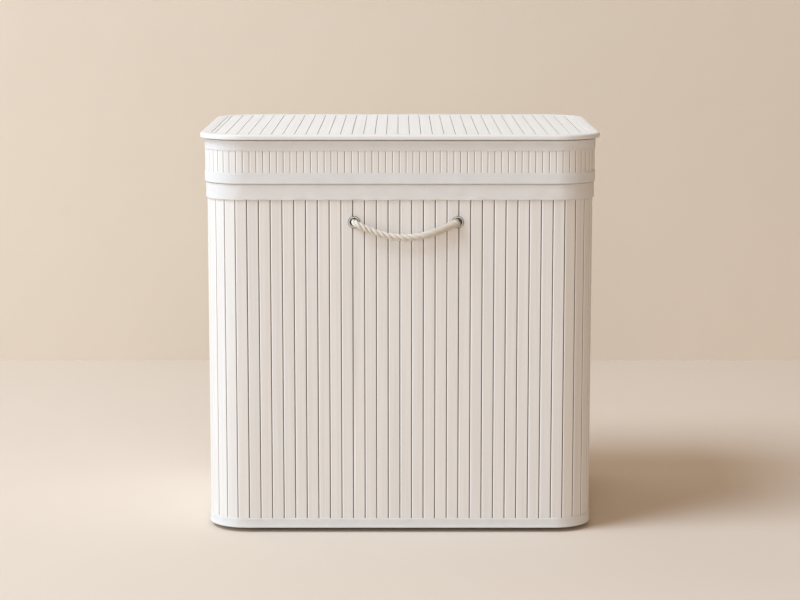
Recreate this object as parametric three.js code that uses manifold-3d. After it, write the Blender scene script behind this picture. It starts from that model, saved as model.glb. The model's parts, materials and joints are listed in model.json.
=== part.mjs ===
// A laundry hamper with two bins: a rounded box of upright bamboo slats on a cloth mat, a cotton
// liner with two bags whose cuff folds over the wall, a slatted cap lid on a cloth hinge along the
// back, and a rope handle on the front and on the back.
// Millimetres, +Z up, the front faces -Y. The origin is on the floor under the middle of the body.
// An inset is a distance inwards from the faces of the wall slats, so a negative one stands proud.

import * as THREE from "three";
import { mergeVertices } from "three/addons/utils/BufferGeometryUtils.js";
import Module from "manifold-3d";

const wasm = await Module();
wasm.setup();

// Fits and drawing fineness
const seatGap = 0.3; // between pieces that touch
const overrun = 2; // how far a cutter runs past what it cuts
const weldDistance = 0.001;
const cornerSteps = 7; // points in a quarter round of a band
const roundSides = 16; // sides of a small turned piece
const quarterTurn = Math.PI / 2;

// Body, measured over the faces of the slats
const bodyWidth = 584;
const bodyDepth = 428;
const cornerRadius = 58;

// Wall: slats glued to a cloth ply, with a plain stiff lining behind
const slatPitch = 17.67;
const slatGap = 1.3;
const slatBevel = 0.7;
const slatThickness = 3.8;
const slatLength = 524;
const plyThickness = 0.6;
const liningThickness = 1;
const spigotHeight = 18.6; // how far the ply, lining and hoop stand above the slats

// Foot: board on glides, with a hem round the wall that turns in under the board
const glideHeight = 7.7;
const glideRadius = 13;
const glideEdge = 1;
const glideInset = 62;
const boardThickness = 5;
const hemThickness = 0.9;
const hemBandHeight = 15.2;
const hemTurnIn = 27;

// Top of the wall: flat hoop, and the liner's cuff folded over it
const hoopThickness = 2;
const clothThickness = 1.5;
const cuffDrop = 24;
const cuffTail = 49.6; // down the inside, from the fold
const cuffEase = 0.6; // rounding of the cuff's folded edges

// Liner bags
const bagThickness = 1.2;
const bagSpacing = 1.2; // between the two bags at the divider
const bagTopDrop = 3.6; // of the bags' top edges below the cuff's fold
const bagInnerRadius = 10; // corners beside the divider
const bagDrawIn = 16; // height over which a bag draws in below the cuff
const bindingThickness = 0.6;
const bindingDrop = 16;

// Rope handles and their eyelets
const handleSpan = 155.4;
const handleDrop = 33.3; // of the eyelets below the cuff's edge
const handleAxisOut = 8; // of the turning axis from the slat faces
const slackPull = 49; // how far down the steep end of the hanging rope is drawn
const slackPullShare = 0.556; // of the span, from the eyelet at the steep end
const tailPull = 3; // the same at the flat end
const tailPullShare = 0.886;
const handleBow = 6.7; // how far out both are drawn
const ropeRadius = 5.4;
const ropeSides = 10;
const ropeSteps = 20;
const eyeletRadius = 9.15;
const eyeletProud = 1.5;
const eyeletSlack = 0.6; // between the rope and the eyelet's barrel
const eyeletWall = 0.7;
const eyeletLip = 1.2; // of the rolled back end past the barrel
const washerRadius = 9.6;
const washerThickness = 0.8;
const knotRadius = 8;
const knotLength = 11;

// Lid skirt: stiff frame, narrow slats and two cloth bands
const skirtHeight = 67.6;
const skirtFrameInset = -0.75; // outer face of the frame
const skirtFrameThickness = 1.15;
const skirtSlatPitch = 10.17;
const skirtSlatThickness = 1.3;
const skirtSlatGap = 1.4;
const skirtPlyThickness = 0.7;
const bandThickness = 0.4;
const lowerBandHeight = 15.6;
const lowerBandTail = 13.7; // up the inside of the frame
const upperBandHeight = 18.5;
const upperBandFlare = 1.25;
const upperBandFlareHeight = 8.4;

// Lid top: board, slatted field, edge rim and lining
const rimOverhang = 10.2; // beyond the slat faces of the wall
const rimThickness = 5.7;
const rimLipThickness = 3.7;
const rimWidth = 17.7;
const rimRound = 2.6;
const rimDrip = 1.7; // how far the bead hangs past its seat, clear of the band
const lidBoardThickness = 4;
const lidLiningThickness = 0.8;
const lidSlatThickness = 3.4;
const lidSlatPitch = 17.21;
const lidSlatShift = -3; // of the middle seam from the middle of the lid
const lidGrooveDepth = 2.4;

// Cloth hinge along the back
const hingeLength = 400;
const hingeThickness = 0.5;
const hingeLowerHeight = 19.1;
const hingeUpperHeight = 14;
const hingeSlack = 1.1; // bare cloth between each leaf and the edge of its band

// Heights that follow from the stack
const boardBottom = glideHeight + seatGap;
const boardTop = boardBottom + boardThickness;
const hemBottom = glideHeight - hemThickness;
const wallBottom = glideHeight + seatGap;
const slatTop = wallBottom + slatLength;
const wallTop = slatTop + spigotHeight;
const shoulderTop = slatTop + seatGap + clothThickness;
const cuffTop = wallTop + seatGap + clothThickness;
const handleHeight = shoulderTop - cuffDrop - handleDrop;
const cuffInnerEdge = cuffTop - cuffTail;
const bagTop = cuffTop - bagTopDrop;
const skirtBottom = shoulderTop + seatGap;
const skirtTop = skirtBottom + skirtHeight;
const skirtFrameBottom = skirtBottom + bandThickness + seatGap;
const rimBottom = skirtTop + seatGap;
const rimTop = rimBottom + rimThickness;
const lidSlatBottom = rimTop - rimLipThickness;
const lidBoardTop = lidSlatBottom - seatGap;
const lidBoardBottom = lidBoardTop - lidBoardThickness;
const lidLiningTop = lidBoardBottom - seatGap;

// Insets that follow from the layers
const matInner = slatThickness + plyThickness;
const liningOuter = matInner + seatGap;
const liningInner = liningOuter + liningThickness;
const hoopOuter = liningInner + seatGap;
const hoopInner = hoopOuter + hoopThickness;
const cuffInner = hoopInner + seatGap + clothThickness;
const cuffOuter = -seatGap - clothThickness;
const riserOuter = slatThickness - seatGap - clothThickness;
const bagInset = cuffInner + seatGap;
const eyeletBore = ropeRadius + eyeletSlack;
const lipBack = liningInner + seatGap + washerThickness + seatGap + eyeletWall;
const knotBack = lipBack + seatGap + knotLength;
const bagDrawnInset = knotBack + seatGap;
const skirtInner = skirtFrameInset + skirtFrameThickness;
const skirtPlyInner = skirtFrameInset - seatGap;
const skirtFace = skirtPlyInner - skirtPlyThickness - skirtSlatThickness;
const bandInner = skirtFace - seatGap;
const bandFace = bandInner - bandThickness;
const rimInner = rimWidth - rimOverhang;
const rimDripInner = bandFace - upperBandFlare - 2 * seatGap;
const lidBoardInset = skirtInner + seatGap;

// Groove between two slats, given across the seam and down into the mat
const wallGroove = [
  [-slatGap / 2 - slatBevel, 0],
  [-slatGap / 2, slatBevel],
  [-slatGap / 2, slatThickness - plyThickness],
  [slatGap / 2, slatThickness - plyThickness],
  [slatGap / 2, slatBevel],
  [slatGap / 2 + slatBevel, 0],
];
const lidGroove = [
  [-slatGap / 2 - slatBevel, 0],
  [-slatGap / 2, slatBevel],
  [-slatGap / 2, lidGrooveDepth],
  [slatGap / 2, lidGrooveDepth],
  [slatGap / 2, slatBevel],
  [slatGap / 2 + slatBevel, 0],
];
const skirtGroove = [
  [-skirtSlatGap / 2, 0],
  [0, skirtSlatThickness],
  [skirtSlatGap / 2, 0],
];

// Finishes
const paintedBamboo = { color: 0xe9e4dd, roughness: 0.62, metalness: 0 };
const cottonCanvas = { color: 0xece6dd, roughness: 0.92, metalness: 0 };
const linerCotton = { color: 0xefeae2, roughness: 0.95, metalness: 0 };
const stiffCard = { color: 0xd9d2c6, roughness: 0.9, metalness: 0 };
const fibreBoard = { color: 0xcdb898, roughness: 0.85, metalness: 0 };
const twistedCotton = { color: 0xe6dac7, roughness: 0.9, metalness: 0 };
const darkNickel = { color: 0x8c8880, roughness: 0.32, metalness: 1 };
const springSteel = { color: 0x9a9a9c, roughness: 0.4, metalness: 1 };
const clearPlastic = { color: 0xdad6ce, roughness: 0.5, metalness: 0 };

function piece(name, geometry, finish) {
  const mesh = new THREE.Mesh(geometry, new THREE.MeshStandardMaterial(finish));
  mesh.name = name;
  return mesh;
}

// Booleans

function solidFrom(geometry) {
  const bare = geometry.clone();
  bare.deleteAttribute("normal");
  bare.deleteAttribute("uv");
  const merged = mergeVertices(bare, weldDistance);
  const mesh = new wasm.Mesh({
    numProp: 3,
    vertProperties: merged.attributes.position.array,
    triVerts: new Uint32Array(merged.index.array),
  });
  return new wasm.Manifold(mesh);
}

function geometryFrom(solid) {
  const mesh = solid.getMesh();
  const geometry = new THREE.BufferGeometry();
  geometry.setAttribute("position", new THREE.BufferAttribute(mesh.vertProperties, mesh.numProp));
  geometry.setIndex(new THREE.BufferAttribute(mesh.triVerts, 1));
  geometry.computeVertexNormals();
  return geometry;
}

function cutFrom(geometry, cutters) {
  const cut = cutters.reduce((left, cutter) => left.subtract(solidFrom(cutter)), solidFrom(geometry));
  return geometryFrom(cut);
}

// Rings, bands and shells that follow the rounded plan of the body

// Points of a corner whose flats touch the true round from outside, so that a band clears the slats.
function cornerPoints(corner, z) {
  const points = [];
  const step = quarterTurn / cornerSteps;
  const reach = corner.radius / Math.cos(step / 2);
  for (let flat = 0; flat < cornerSteps; flat += 1) {
    const angle = corner.from + step * (flat + 1 / 2);
    const x = corner.x + reach * Math.cos(angle);
    const y = corner.y + reach * Math.sin(angle);
    points.push(new THREE.Vector3(x, y, z));
  }
  return points;
}

// A level outline from x = left to x = right, with its own corner radius on each side.
function outline(plan, z) {
  const rightX = plan.right - plan.rightRadius;
  const leftX = plan.left + plan.leftRadius;
  const rightY = plan.halfDepth - plan.rightRadius;
  const leftY = plan.halfDepth - plan.leftRadius;
  const corners = [
    { x: rightX, y: -rightY, radius: plan.rightRadius, from: -quarterTurn },
    { x: rightX, y: rightY, radius: plan.rightRadius, from: 0 },
    { x: leftX, y: leftY, radius: plan.leftRadius, from: quarterTurn },
    { x: leftX, y: -leftY, radius: plan.leftRadius, from: 2 * quarterTurn },
  ];
  return corners.flatMap((corner) => cornerPoints(corner, z));
}

function bodyOutline(inset, z) {
  const half = bodyWidth / 2 - inset;
  const radius = cornerRadius - inset;
  const halfDepth = bodyDepth / 2 - inset;
  return outline({ left: -half, right: half, halfDepth, leftRadius: radius, rightRadius: radius }, z);
}

// Joins level rings of equally many points. A looped set closes on itself, and any other is capped.
function skin(rings, looped) {
  const count = rings[0].length;
  const index = [];
  const bands = looped ? rings.length : rings.length - 1;
  for (let ring = 0; ring < bands; ring += 1) {
    const here = ring * count;
    const next = ((ring + 1) % rings.length) * count;
    for (let i = 0; i < count; i += 1) {
      const j = (i + 1) % count;
      index.push(here + i, here + j, next + j, here + i, next + j, next + i);
    }
  }
  const last = (rings.length - 1) * count;
  for (let i = 1; !looped && i < count - 1; i += 1) {
    index.push(0, i + 1, i, last, last + i, last + i + 1);
  }
  const geometry = new THREE.BufferGeometry().setFromPoints(rings.flat());
  geometry.setIndex(index);
  geometry.computeVertexNormals();
  return geometry;
}

// A band round the body. Its section is listed as [inset, height], up the outside and down the inside.
function band(section) {
  return skin(section.map(([inset, z]) => bodyOutline(inset, z)), true);
}

function plainBand(outer, inner, bottom, top) {
  return band([
    [outer, bottom],
    [outer, top],
    [inner, top],
    [inner, bottom],
  ]);
}

function plate(inset, bottom, top) {
  return skin([bodyOutline(inset, bottom), bodyOutline(inset, top)], false);
}

// Slat mats

// The rounded plan as a path that starts at the middle of the front and runs to the right.
function facePath(inset) {
  const radius = cornerRadius - inset;
  const x = bodyWidth / 2 - cornerRadius;
  const y = bodyDepth / 2 - cornerRadius;
  const path = new THREE.Path();
  path.moveTo(0, -y - radius);
  path.lineTo(x, -y - radius);
  path.absarc(x, -y, radius, -quarterTurn, 0);
  path.lineTo(x + radius, y);
  path.absarc(x, y, radius, 0, quarterTurn);
  path.lineTo(-x, y + radius);
  path.absarc(-x, y, radius, quarterTurn, 2 * quarterTurn);
  path.lineTo(-x - radius, -y);
  path.absarc(-x, -y, radius, 2 * quarterTurn, 3 * quarterTurn);
  path.lineTo(0, -y - radius);
  return path;
}

// A point some way along a path and some way in from it.
function pointInside(path, along, depth) {
  const share = THREE.MathUtils.euclideanModulo(along / path.getLength(), 1);
  const tangent = path.getTangentAt(share);
  const inwards = new THREE.Vector2(-tangent.y, tangent.x);
  return path.getPointAt(share).addScaledVector(inwards, depth);
}

// A mat of upright slats. Each slat is flat, so a corner is a run of flats, and a seam is on the
// middle of the front.
function slatMat(face, inner, pitch, groove, bottom, top) {
  const path = facePath(face);
  const slats = Math.round(path.getLength() / pitch);
  const step = path.getLength() / slats;
  const points = [];
  for (let seam = 0; seam < slats; seam += 1) {
    for (const [across, depth] of groove) {
      points.push(pointInside(path, seam * step + across, depth));
    }
  }
  const shape = new THREE.Shape(points);
  const inside = bodyOutline(inner, 0).map((point) => new THREE.Vector2(point.x, point.y));
  shape.holes.push(new THREE.Path(inside.reverse()));
  const geometry = new THREE.ExtrudeGeometry(shape, { depth: top - bottom, bevelEnabled: false });
  geometry.translate(0, 0, bottom);
  return geometry;
}

// Wall

function eyeletHoles() {
  const holes = [];
  const radius = eyeletBore + eyeletWall + seatGap;
  const length = liningInner + 2 * overrun;
  for (const place of eyeletPlaces()) {
    const hole = new THREE.CylinderGeometry(radius, radius, length, roundSides);
    const y = bodyDepth / 2 - liningInner / 2;
    hole.translate(place.x, place.facing * y, handleHeight);
    holes.push(hole);
  }
  return holes;
}

// Wall slats on their ply, which goes on above the slats as the outside of the lid's spigot.
function wallSlats() {
  const slats = solidFrom(slatMat(0, matInner - plyThickness / 2, slatPitch, wallGroove, wallBottom, slatTop));
  const ply = solidFrom(plainBand(slatThickness, matInner, wallBottom, wallTop));
  return piece("wall_slats", cutFrom(geometryFrom(slats.add(ply)), eyeletHoles()), paintedBamboo);
}

function wallLining() {
  const tube = plainBand(liningOuter, liningInner, wallBottom, wallTop);
  return piece("wall_lining", cutFrom(tube, eyeletHoles()), stiffCard);
}

function topHoop() {
  const bottom = slatTop + seatGap;
  return piece("top_hoop", plainBand(hoopOuter, hoopInner, bottom, wallTop), springSteel);
}

// Foot

function bottomHem() {
  const outer = -seatGap - hemThickness;
  const section = [
    [outer + hemThickness, hemBottom],
    [outer, hemBottom + hemThickness],
    [outer, hemBottom + hemBandHeight],
    [-seatGap, hemBottom + hemBandHeight],
    [-seatGap, glideHeight],
    [hemTurnIn, glideHeight],
    [hemTurnIn, hemBottom],
  ];
  return piece("bottom_hem", band(section), cottonCanvas);
}

function baseBoard() {
  return piece("base_board", plate(liningInner + seatGap, boardBottom, boardTop), fibreBoard);
}

function glides() {
  const profile = [
    new THREE.Vector2(0, 0),
    new THREE.Vector2(glideRadius - glideEdge, 0),
    new THREE.Vector2(glideRadius, glideEdge),
    new THREE.Vector2(glideRadius, glideHeight),
    new THREE.Vector2(0, glideHeight),
  ];
  const x = bodyWidth / 2 - glideInset;
  const y = bodyDepth / 2 - glideInset;
  const meshes = [];
  for (const [facing, face] of [[-1, "front"], [1, "rear"]]) {
    for (const [side, hand] of [[-1, "left"], [1, "right"]]) {
      const geometry = new THREE.LatheGeometry(profile, roundSides).rotateX(quarterTurn);
      const glide = piece(`glide_${face}_${hand}`, geometry, clearPlastic);
      glide.position.set(side * x, facing * y, 0);
      meshes.push(glide);
    }
  }
  return meshes;
}

// Liner

function linerCuff() {
  const section = [
    [cuffOuter, shoulderTop - cuffDrop],
    [cuffOuter, shoulderTop - cuffEase],
    [cuffOuter + cuffEase, shoulderTop],
    [riserOuter, shoulderTop],
    [riserOuter, cuffTop - cuffEase],
    [riserOuter + cuffEase, cuffTop],
    [cuffInner - cuffEase, cuffTop],
    [cuffInner, cuffTop - cuffEase],
    [cuffInner, cuffInnerEdge],
    [cuffInner - clothThickness, cuffInnerEdge],
    [cuffInner - clothThickness, cuffTop - clothThickness],
    [riserOuter + clothThickness, cuffTop - clothThickness],
    [riserOuter + clothThickness, shoulderTop - clothThickness],
    [cuffOuter + clothThickness, shoulderTop - clothThickness],
    [cuffOuter + clothThickness, shoulderTop - cuffDrop],
  ];
  return piece("liner_cuff", band(section), linerCotton);
}

// Plan of a bag, drawn in from the front and back walls and thinned by the cloth.
function bagPlan(side, wallInset, thinned) {
  const outerX = bodyWidth / 2 - bagInset - thinned;
  const innerX = bagSpacing / 2 + thinned;
  const wallRadius = cornerRadius - bagInset - thinned;
  const dividerRadius = bagInnerRadius - thinned;
  return {
    left: side < 0 ? -outerX : innerX,
    right: side < 0 ? -innerX : outerX,
    halfDepth: bodyDepth / 2 - wallInset - thinned,
    leftRadius: side < 0 ? wallRadius : dividerRadius,
    rightRadius: side < 0 ? dividerRadius : wallRadius,
  };
}

// An open bag with one shell: up the outside, over the top edge and down the inside.
function linerBag(name, side) {
  const bottom = boardTop + seatGap;
  const upper = cuffInnerEdge;
  const lower = cuffInnerEdge - bagDrawIn;
  const rings = [
    outline(bagPlan(side, bagDrawnInset, 0), bottom),
    outline(bagPlan(side, bagDrawnInset, 0), lower),
    outline(bagPlan(side, bagInset, 0), upper),
    outline(bagPlan(side, bagInset, 0), bagTop),
    outline(bagPlan(side, bagInset, bagThickness), bagTop),
    outline(bagPlan(side, bagInset, bagThickness), upper),
    outline(bagPlan(side, bagDrawnInset, bagThickness), lower),
    outline(bagPlan(side, bagDrawnInset, bagThickness), bottom + bagThickness),
  ];
  return piece(name, skin(rings, false), linerCotton);
}

// Cloth strip folded over the two bags' top edges where they stand side by side.
function dividerBinding() {
  const legInner = bagSpacing / 2 + bagThickness + seatGap;
  const legOuter = legInner + bindingThickness;
  const underside = bagTop + seatGap;
  const top = underside + bindingThickness;
  const shape = new THREE.Shape();
  shape.moveTo(-legOuter, top - bindingDrop);
  shape.lineTo(-legInner, top - bindingDrop);
  shape.lineTo(-legInner, underside);
  shape.lineTo(legInner, underside);
  shape.lineTo(legInner, top - bindingDrop);
  shape.lineTo(legOuter, top - bindingDrop);
  shape.lineTo(legOuter, top);
  shape.lineTo(-legOuter, top);
  shape.closePath();
  const length = bodyDepth - 2 * (bagInset + bagInnerRadius);
  const geometry = new THREE.ExtrudeGeometry(shape, { depth: length, bevelEnabled: false });
  geometry.rotateX(quarterTurn);
  geometry.translate(0, length / 2, 0);
  return piece("divider_binding", geometry, cottonCanvas);
}

// Handles

// The handle is centred on the slat right of the middle seam, as seen from its own side.
function handleMiddle() {
  return facePath(0).getLength() / Math.round(facePath(0).getLength() / slatPitch) / 2;
}

function eyeletPlaces() {
  const places = [];
  for (const facing of [-1, 1]) {
    for (const side of [-1, 1]) {
      places.push({ facing, x: -facing * (handleMiddle() + (side * handleSpan) / 2) });
    }
  }
  return places;
}

function placeName(place) {
  const face = place.facing < 0 ? "front" : "rear";
  const hand = place.x < 0 ? "left" : "right";
  return `${face}_${hand}`;
}

// A turned piece whose profile is [radius, distance out from the slat faces].
function turned(name, place, profile, finish) {
  const points = profile.map(([radius, out]) => new THREE.Vector2(radius, out));
  const geometry = new THREE.LatheGeometry(points, roundSides);
  if (place.facing < 0) {
    geometry.rotateX(2 * quarterTurn);
  }
  const mesh = piece(name, geometry, finish);
  mesh.position.set(place.x, (place.facing * bodyDepth) / 2, handleHeight);
  return mesh;
}

function eyelet(place) {
  const barrel = eyeletBore + eyeletWall;
  const crown = seatGap + eyeletProud;
  const middle = (barrel + eyeletRadius) / 2;
  const profile = [
    [eyeletBore, -lipBack],
    [barrel + eyeletLip, -lipBack],
    [barrel + eyeletLip, eyeletWall - lipBack],
    [barrel, eyeletWall - lipBack],
    [barrel, seatGap],
    [eyeletRadius, seatGap],
    [eyeletRadius, seatGap + eyeletWall / 2],
    [middle, crown],
    [eyeletBore, seatGap + eyeletWall],
    [eyeletBore, -lipBack],
  ];
  return turned(`eyelet_${placeName(place)}`, place, profile, darkNickel);
}

function washer(place) {
  const hole = eyeletBore + eyeletWall + seatGap;
  const back = -liningInner - seatGap - washerThickness;
  const profile = [
    [hole, back],
    [washerRadius, back],
    [washerRadius, back + washerThickness],
    [hole, back + washerThickness],
    [hole, back],
  ];
  return turned(`eyelet_washer_${placeName(place)}`, place, profile, darkNickel);
}

// The rope's end: through the eyelet, with its stopper knot against the eyelet's rolled lip.
function ropeEnd(place) {
  const outerEnd = handleAxisOut - ropeRadius - seatGap;
  const knotFront = -lipBack - seatGap;
  const shoulder = (knotRadius + ropeRadius) / 2;
  const profile = [
    [0, -knotBack],
    [shoulder, -knotBack],
    [knotRadius, -knotBack + knotLength / 4],
    [knotRadius, knotFront - knotLength / 4],
    [shoulder, knotFront],
    [ropeRadius, knotFront],
    [ropeRadius, outerEnd],
    [0, outerEnd],
  ];
  return turned(`rope_end_${placeName(place)}`, place, profile, twistedCotton);
}

// The hanging rope, from one turning point to the other. It falls steeply from its left end.
function ropeLine() {
  const half = handleSpan / 2;
  return new THREE.CubicBezierCurve3(
    new THREE.Vector3(-half, 0, 0),
    new THREE.Vector3(handleSpan * slackPullShare - half, -handleBow, -slackPull),
    new THREE.Vector3(handleSpan * tailPullShare - half, -handleBow, -tailPull),
    new THREE.Vector3(half, 0, 0),
  );
}

function ropeHandle(name, facing) {
  const section = new THREE.Shape().absarc(0, 0, ropeRadius, 0, 4 * quarterTurn);
  const settings = { steps: ropeSteps, curveSegments: ropeSides / 2, extrudePath: ropeLine() };
  const rope = solidFrom(new THREE.ExtrudeGeometry(section, settings));
  const ends = [-1, 1].map((side) => {
    const ball = new THREE.SphereGeometry(ropeRadius, ropeSides, ropeSides / 2);
    return solidFrom(ball.translate((side * handleSpan) / 2, 0, 0));
  });
  const geometry = geometryFrom(rope.add(ends[0]).add(ends[1]));
  const handle = piece(name, geometry, twistedCotton);
  const out = bodyDepth / 2 + handleAxisOut;
  handle.position.set(-facing * handleMiddle(), facing * out, handleHeight);
  handle.rotation.z = facing < 0 ? 0 : 2 * quarterTurn;
  return handle;
}

// Lid

function skirtFrame() {
  const tube = plainBand(skirtFrameInset, skirtInner, skirtFrameBottom, skirtTop);
  return piece("skirt_frame", tube, stiffCard);
}

function skirtSlats() {
  const mat = slatMat(skirtFace, skirtPlyInner, skirtSlatPitch, skirtGroove, skirtFrameBottom, skirtTop);
  return piece("skirt_slats", mat, paintedBamboo);
}

// Lower band, folded under the skirt's edge and a little way up its inside.
function skirtLowerBand() {
  const insideFace = skirtInner + seatGap;
  const section = [
    [bandInner, skirtBottom],
    [bandFace, skirtBottom + bandThickness],
    [bandFace, skirtBottom + lowerBandHeight],
    [bandInner, skirtBottom + lowerBandHeight],
    [bandInner, skirtBottom + bandThickness],
    [insideFace, skirtBottom + bandThickness],
    [insideFace, skirtBottom + lowerBandTail],
    [insideFace + bandThickness, skirtBottom + lowerBandTail],
    [insideFace + bandThickness, skirtBottom],
  ];
  return piece("skirt_lower_band", band(section), cottonCanvas);
}

// Upper band, which flares out to meet the rim.
function skirtUpperBand() {
  const section = [
    [bandFace, skirtTop - upperBandHeight],
    [bandFace, skirtTop - upperBandFlareHeight],
    [bandFace - upperBandFlare, skirtTop],
    [bandInner, skirtTop],
    [bandInner, skirtTop - upperBandHeight],
  ];
  return piece("skirt_upper_band", band(section), cottonCanvas);
}

// Rim round the lid: a rounded bead outside, with a lip over the edge of the board.
function lidRim() {
  const beadBottom = rimBottom - rimDrip;
  const bead = (rimTop - beadBottom) / 2;
  const section = [
    [skirtInner, rimBottom],
    [rimDripInner, rimBottom],
    [rimDripInner, beadBottom],
    [-rimOverhang + rimRound / 2, beadBottom],
    [-rimOverhang, beadBottom + bead / 2],
    [-rimOverhang, beadBottom + bead],
    [-rimOverhang + rimRound / 4, rimTop - bead / 2],
    [-rimOverhang + rimRound, rimTop],
    [rimInner, rimTop],
    [rimInner, lidSlatBottom],
    [skirtInner, lidSlatBottom],
  ];
  return piece("lid_rim", band(section), paintedBamboo);
}

// Lid slats run from front to back, cut to the rounded field inside the rim.
function lidSlats() {
  const inset = rimInner + seatGap;
  const half = bodyWidth / 2 - inset + overrun;
  const top = lidSlatBottom + lidSlatThickness;
  const shape = new THREE.Shape();
  shape.moveTo(-half, lidSlatBottom);
  shape.lineTo(-half, top);
  const first = Math.ceil((-half - lidSlatShift + slatGap) / lidSlatPitch);
  const last = Math.floor((half - lidSlatShift - slatGap) / lidSlatPitch);
  for (let seam = first; seam <= last; seam += 1) {
    for (const [across, depth] of lidGroove) {
      shape.lineTo(lidSlatShift + seam * lidSlatPitch + across, top - depth);
    }
  }
  shape.lineTo(half, top);
  shape.lineTo(half, lidSlatBottom);
  shape.closePath();
  const run = bodyDepth - 2 * inset + 2 * overrun;
  const comb = new THREE.ExtrudeGeometry(shape, { depth: run, bevelEnabled: false });
  comb.rotateX(quarterTurn);
  comb.translate(0, run / 2, 0);
  const field = solidFrom(plate(inset, lidSlatBottom - overrun, top + overrun));
  return piece("lid_slats", geometryFrom(solidFrom(comb).intersect(field)), paintedBamboo);
}

function lidBoard() {
  return piece("lid_board", plate(lidBoardInset, lidBoardBottom, lidBoardTop), fibreBoard);
}

function lidLining() {
  const bottom = lidLiningTop - lidLiningThickness;
  return piece("lid_lining", plate(lidBoardInset, bottom, lidLiningTop), linerCotton);
}

// Hinge: one cloth tape, in two leaves that meet at its crease

function hingeLeaf(name, inset, bottom, height) {
  const geometry = new THREE.BoxGeometry(hingeLength, hingeThickness, height);
  const leaf = piece(name, geometry, cottonCanvas);
  const out = bodyDepth / 2 - inset + seatGap + hingeThickness / 2;
  leaf.position.set(0, out, bottom + height / 2);
  return leaf;
}

function lowerHingeLeaf() {
  const top = shoulderTop - hingeSlack;
  return hingeLeaf("hinge_tape_lower", cuffOuter, top - hingeLowerHeight, hingeLowerHeight);
}

function upperHingeLeaf() {
  return hingeLeaf("hinge_tape_upper", bandFace, skirtBottom + hingeSlack, hingeUpperHeight);
}

const body = new THREE.Group();
body.add(wallSlats(), wallLining(), topHoop());
body.add(bottomHem(), baseBoard(), ...glides());
body.add(linerCuff(), linerBag("left_bag", -1), linerBag("right_bag", 1), dividerBinding());
for (const place of eyeletPlaces()) {
  body.add(eyelet(place), washer(place), ropeEnd(place));
}
body.add(lowerHingeLeaf());

const lid = new THREE.Group();
lid.add(lidBoard(), lidSlats(), lidRim(), lidLining());
lid.add(skirtFrame(), skirtSlats(), skirtLowerBand(), skirtUpperBand(), upperHingeLeaf());

const handles = new THREE.Group();
handles.add(ropeHandle("front_rope", -1), ropeHandle("rear_rope", 1));

const hamper = new THREE.Group();
hamper.add(body, lid, handles);

export default hamper;
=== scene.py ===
# %% [markdown]
# # A laundry hamper with two bins
#
# This lesson dresses a finished frame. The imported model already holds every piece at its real
# size and on its moving body, so nothing here is placed by eye: each new piece takes its place
# from the same sizes, and stands in for the plain solid that it replaces.

import json
import math

import bmesh
import bpy
import numpy as np
from mathutils import Matrix, Vector, noise


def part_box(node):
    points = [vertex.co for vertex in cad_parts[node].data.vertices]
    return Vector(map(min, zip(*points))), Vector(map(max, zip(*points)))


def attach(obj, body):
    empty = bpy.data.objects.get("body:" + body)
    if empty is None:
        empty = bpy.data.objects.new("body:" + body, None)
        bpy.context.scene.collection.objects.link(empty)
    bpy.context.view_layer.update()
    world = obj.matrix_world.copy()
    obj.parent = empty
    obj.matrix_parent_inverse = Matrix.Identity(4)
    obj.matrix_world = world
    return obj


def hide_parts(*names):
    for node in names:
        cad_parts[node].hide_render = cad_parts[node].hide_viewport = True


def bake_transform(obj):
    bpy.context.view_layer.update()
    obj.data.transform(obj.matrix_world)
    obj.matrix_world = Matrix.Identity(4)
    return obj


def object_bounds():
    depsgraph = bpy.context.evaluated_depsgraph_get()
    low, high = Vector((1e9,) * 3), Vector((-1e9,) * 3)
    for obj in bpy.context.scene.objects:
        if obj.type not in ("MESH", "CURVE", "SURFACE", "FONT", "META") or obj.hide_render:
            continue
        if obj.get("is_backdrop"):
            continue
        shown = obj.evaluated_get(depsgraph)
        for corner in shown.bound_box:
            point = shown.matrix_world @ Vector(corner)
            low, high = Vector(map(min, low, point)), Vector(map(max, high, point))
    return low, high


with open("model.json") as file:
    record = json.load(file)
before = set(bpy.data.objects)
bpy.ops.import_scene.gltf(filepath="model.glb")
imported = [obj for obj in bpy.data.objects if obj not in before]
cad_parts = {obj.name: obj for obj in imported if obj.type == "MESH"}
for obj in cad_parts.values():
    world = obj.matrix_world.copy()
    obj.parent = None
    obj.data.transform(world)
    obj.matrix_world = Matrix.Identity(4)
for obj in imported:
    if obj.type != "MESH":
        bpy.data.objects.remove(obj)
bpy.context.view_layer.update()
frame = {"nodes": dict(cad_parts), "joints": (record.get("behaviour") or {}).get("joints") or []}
scene = bpy.context.scene

# %% [markdown]
# ## Sizes
#
# All lengths are in metres. An inset is a distance inwards from the faces of the wall slats, so a
# negative inset stands proud of them. That one habit lets a band, a rim and a hoop share one
# outline.

# %% Sizes
MM = 0.001
HALF_WIDTH = 292 * MM
HALF_DEPTH = 214 * MM
CORNER_RADIUS = 58 * MM
SLAT_BOTTOM = 8.0 * MM
SLAT_TOP = 532.0 * MM
WALL_TOP = 550.6 * MM
SHOULDER = 533.8 * MM
CUFF_EDGE = 509.8 * MM
CUFF_TOP = 552.4 * MM
CUFF_INNER_EDGE = 502.8 * MM
SKIRT_BOTTOM = 534.1 * MM
SKIRT_TOP = 601.7 * MM
RIM_BOTTOM = 602.0 * MM
RIM_TOP = 607.7 * MM
HANDLE_HEIGHT = 476.5 * MM
HANDLE_MIDDLE = 8.83 * MM
HANDLE_SPAN = 155.4 * MM
print(f"wall {2 * HALF_WIDTH:.3f} x {2 * HALF_DEPTH:.3f} m, lid at {RIM_TOP:.4f} m")

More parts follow.
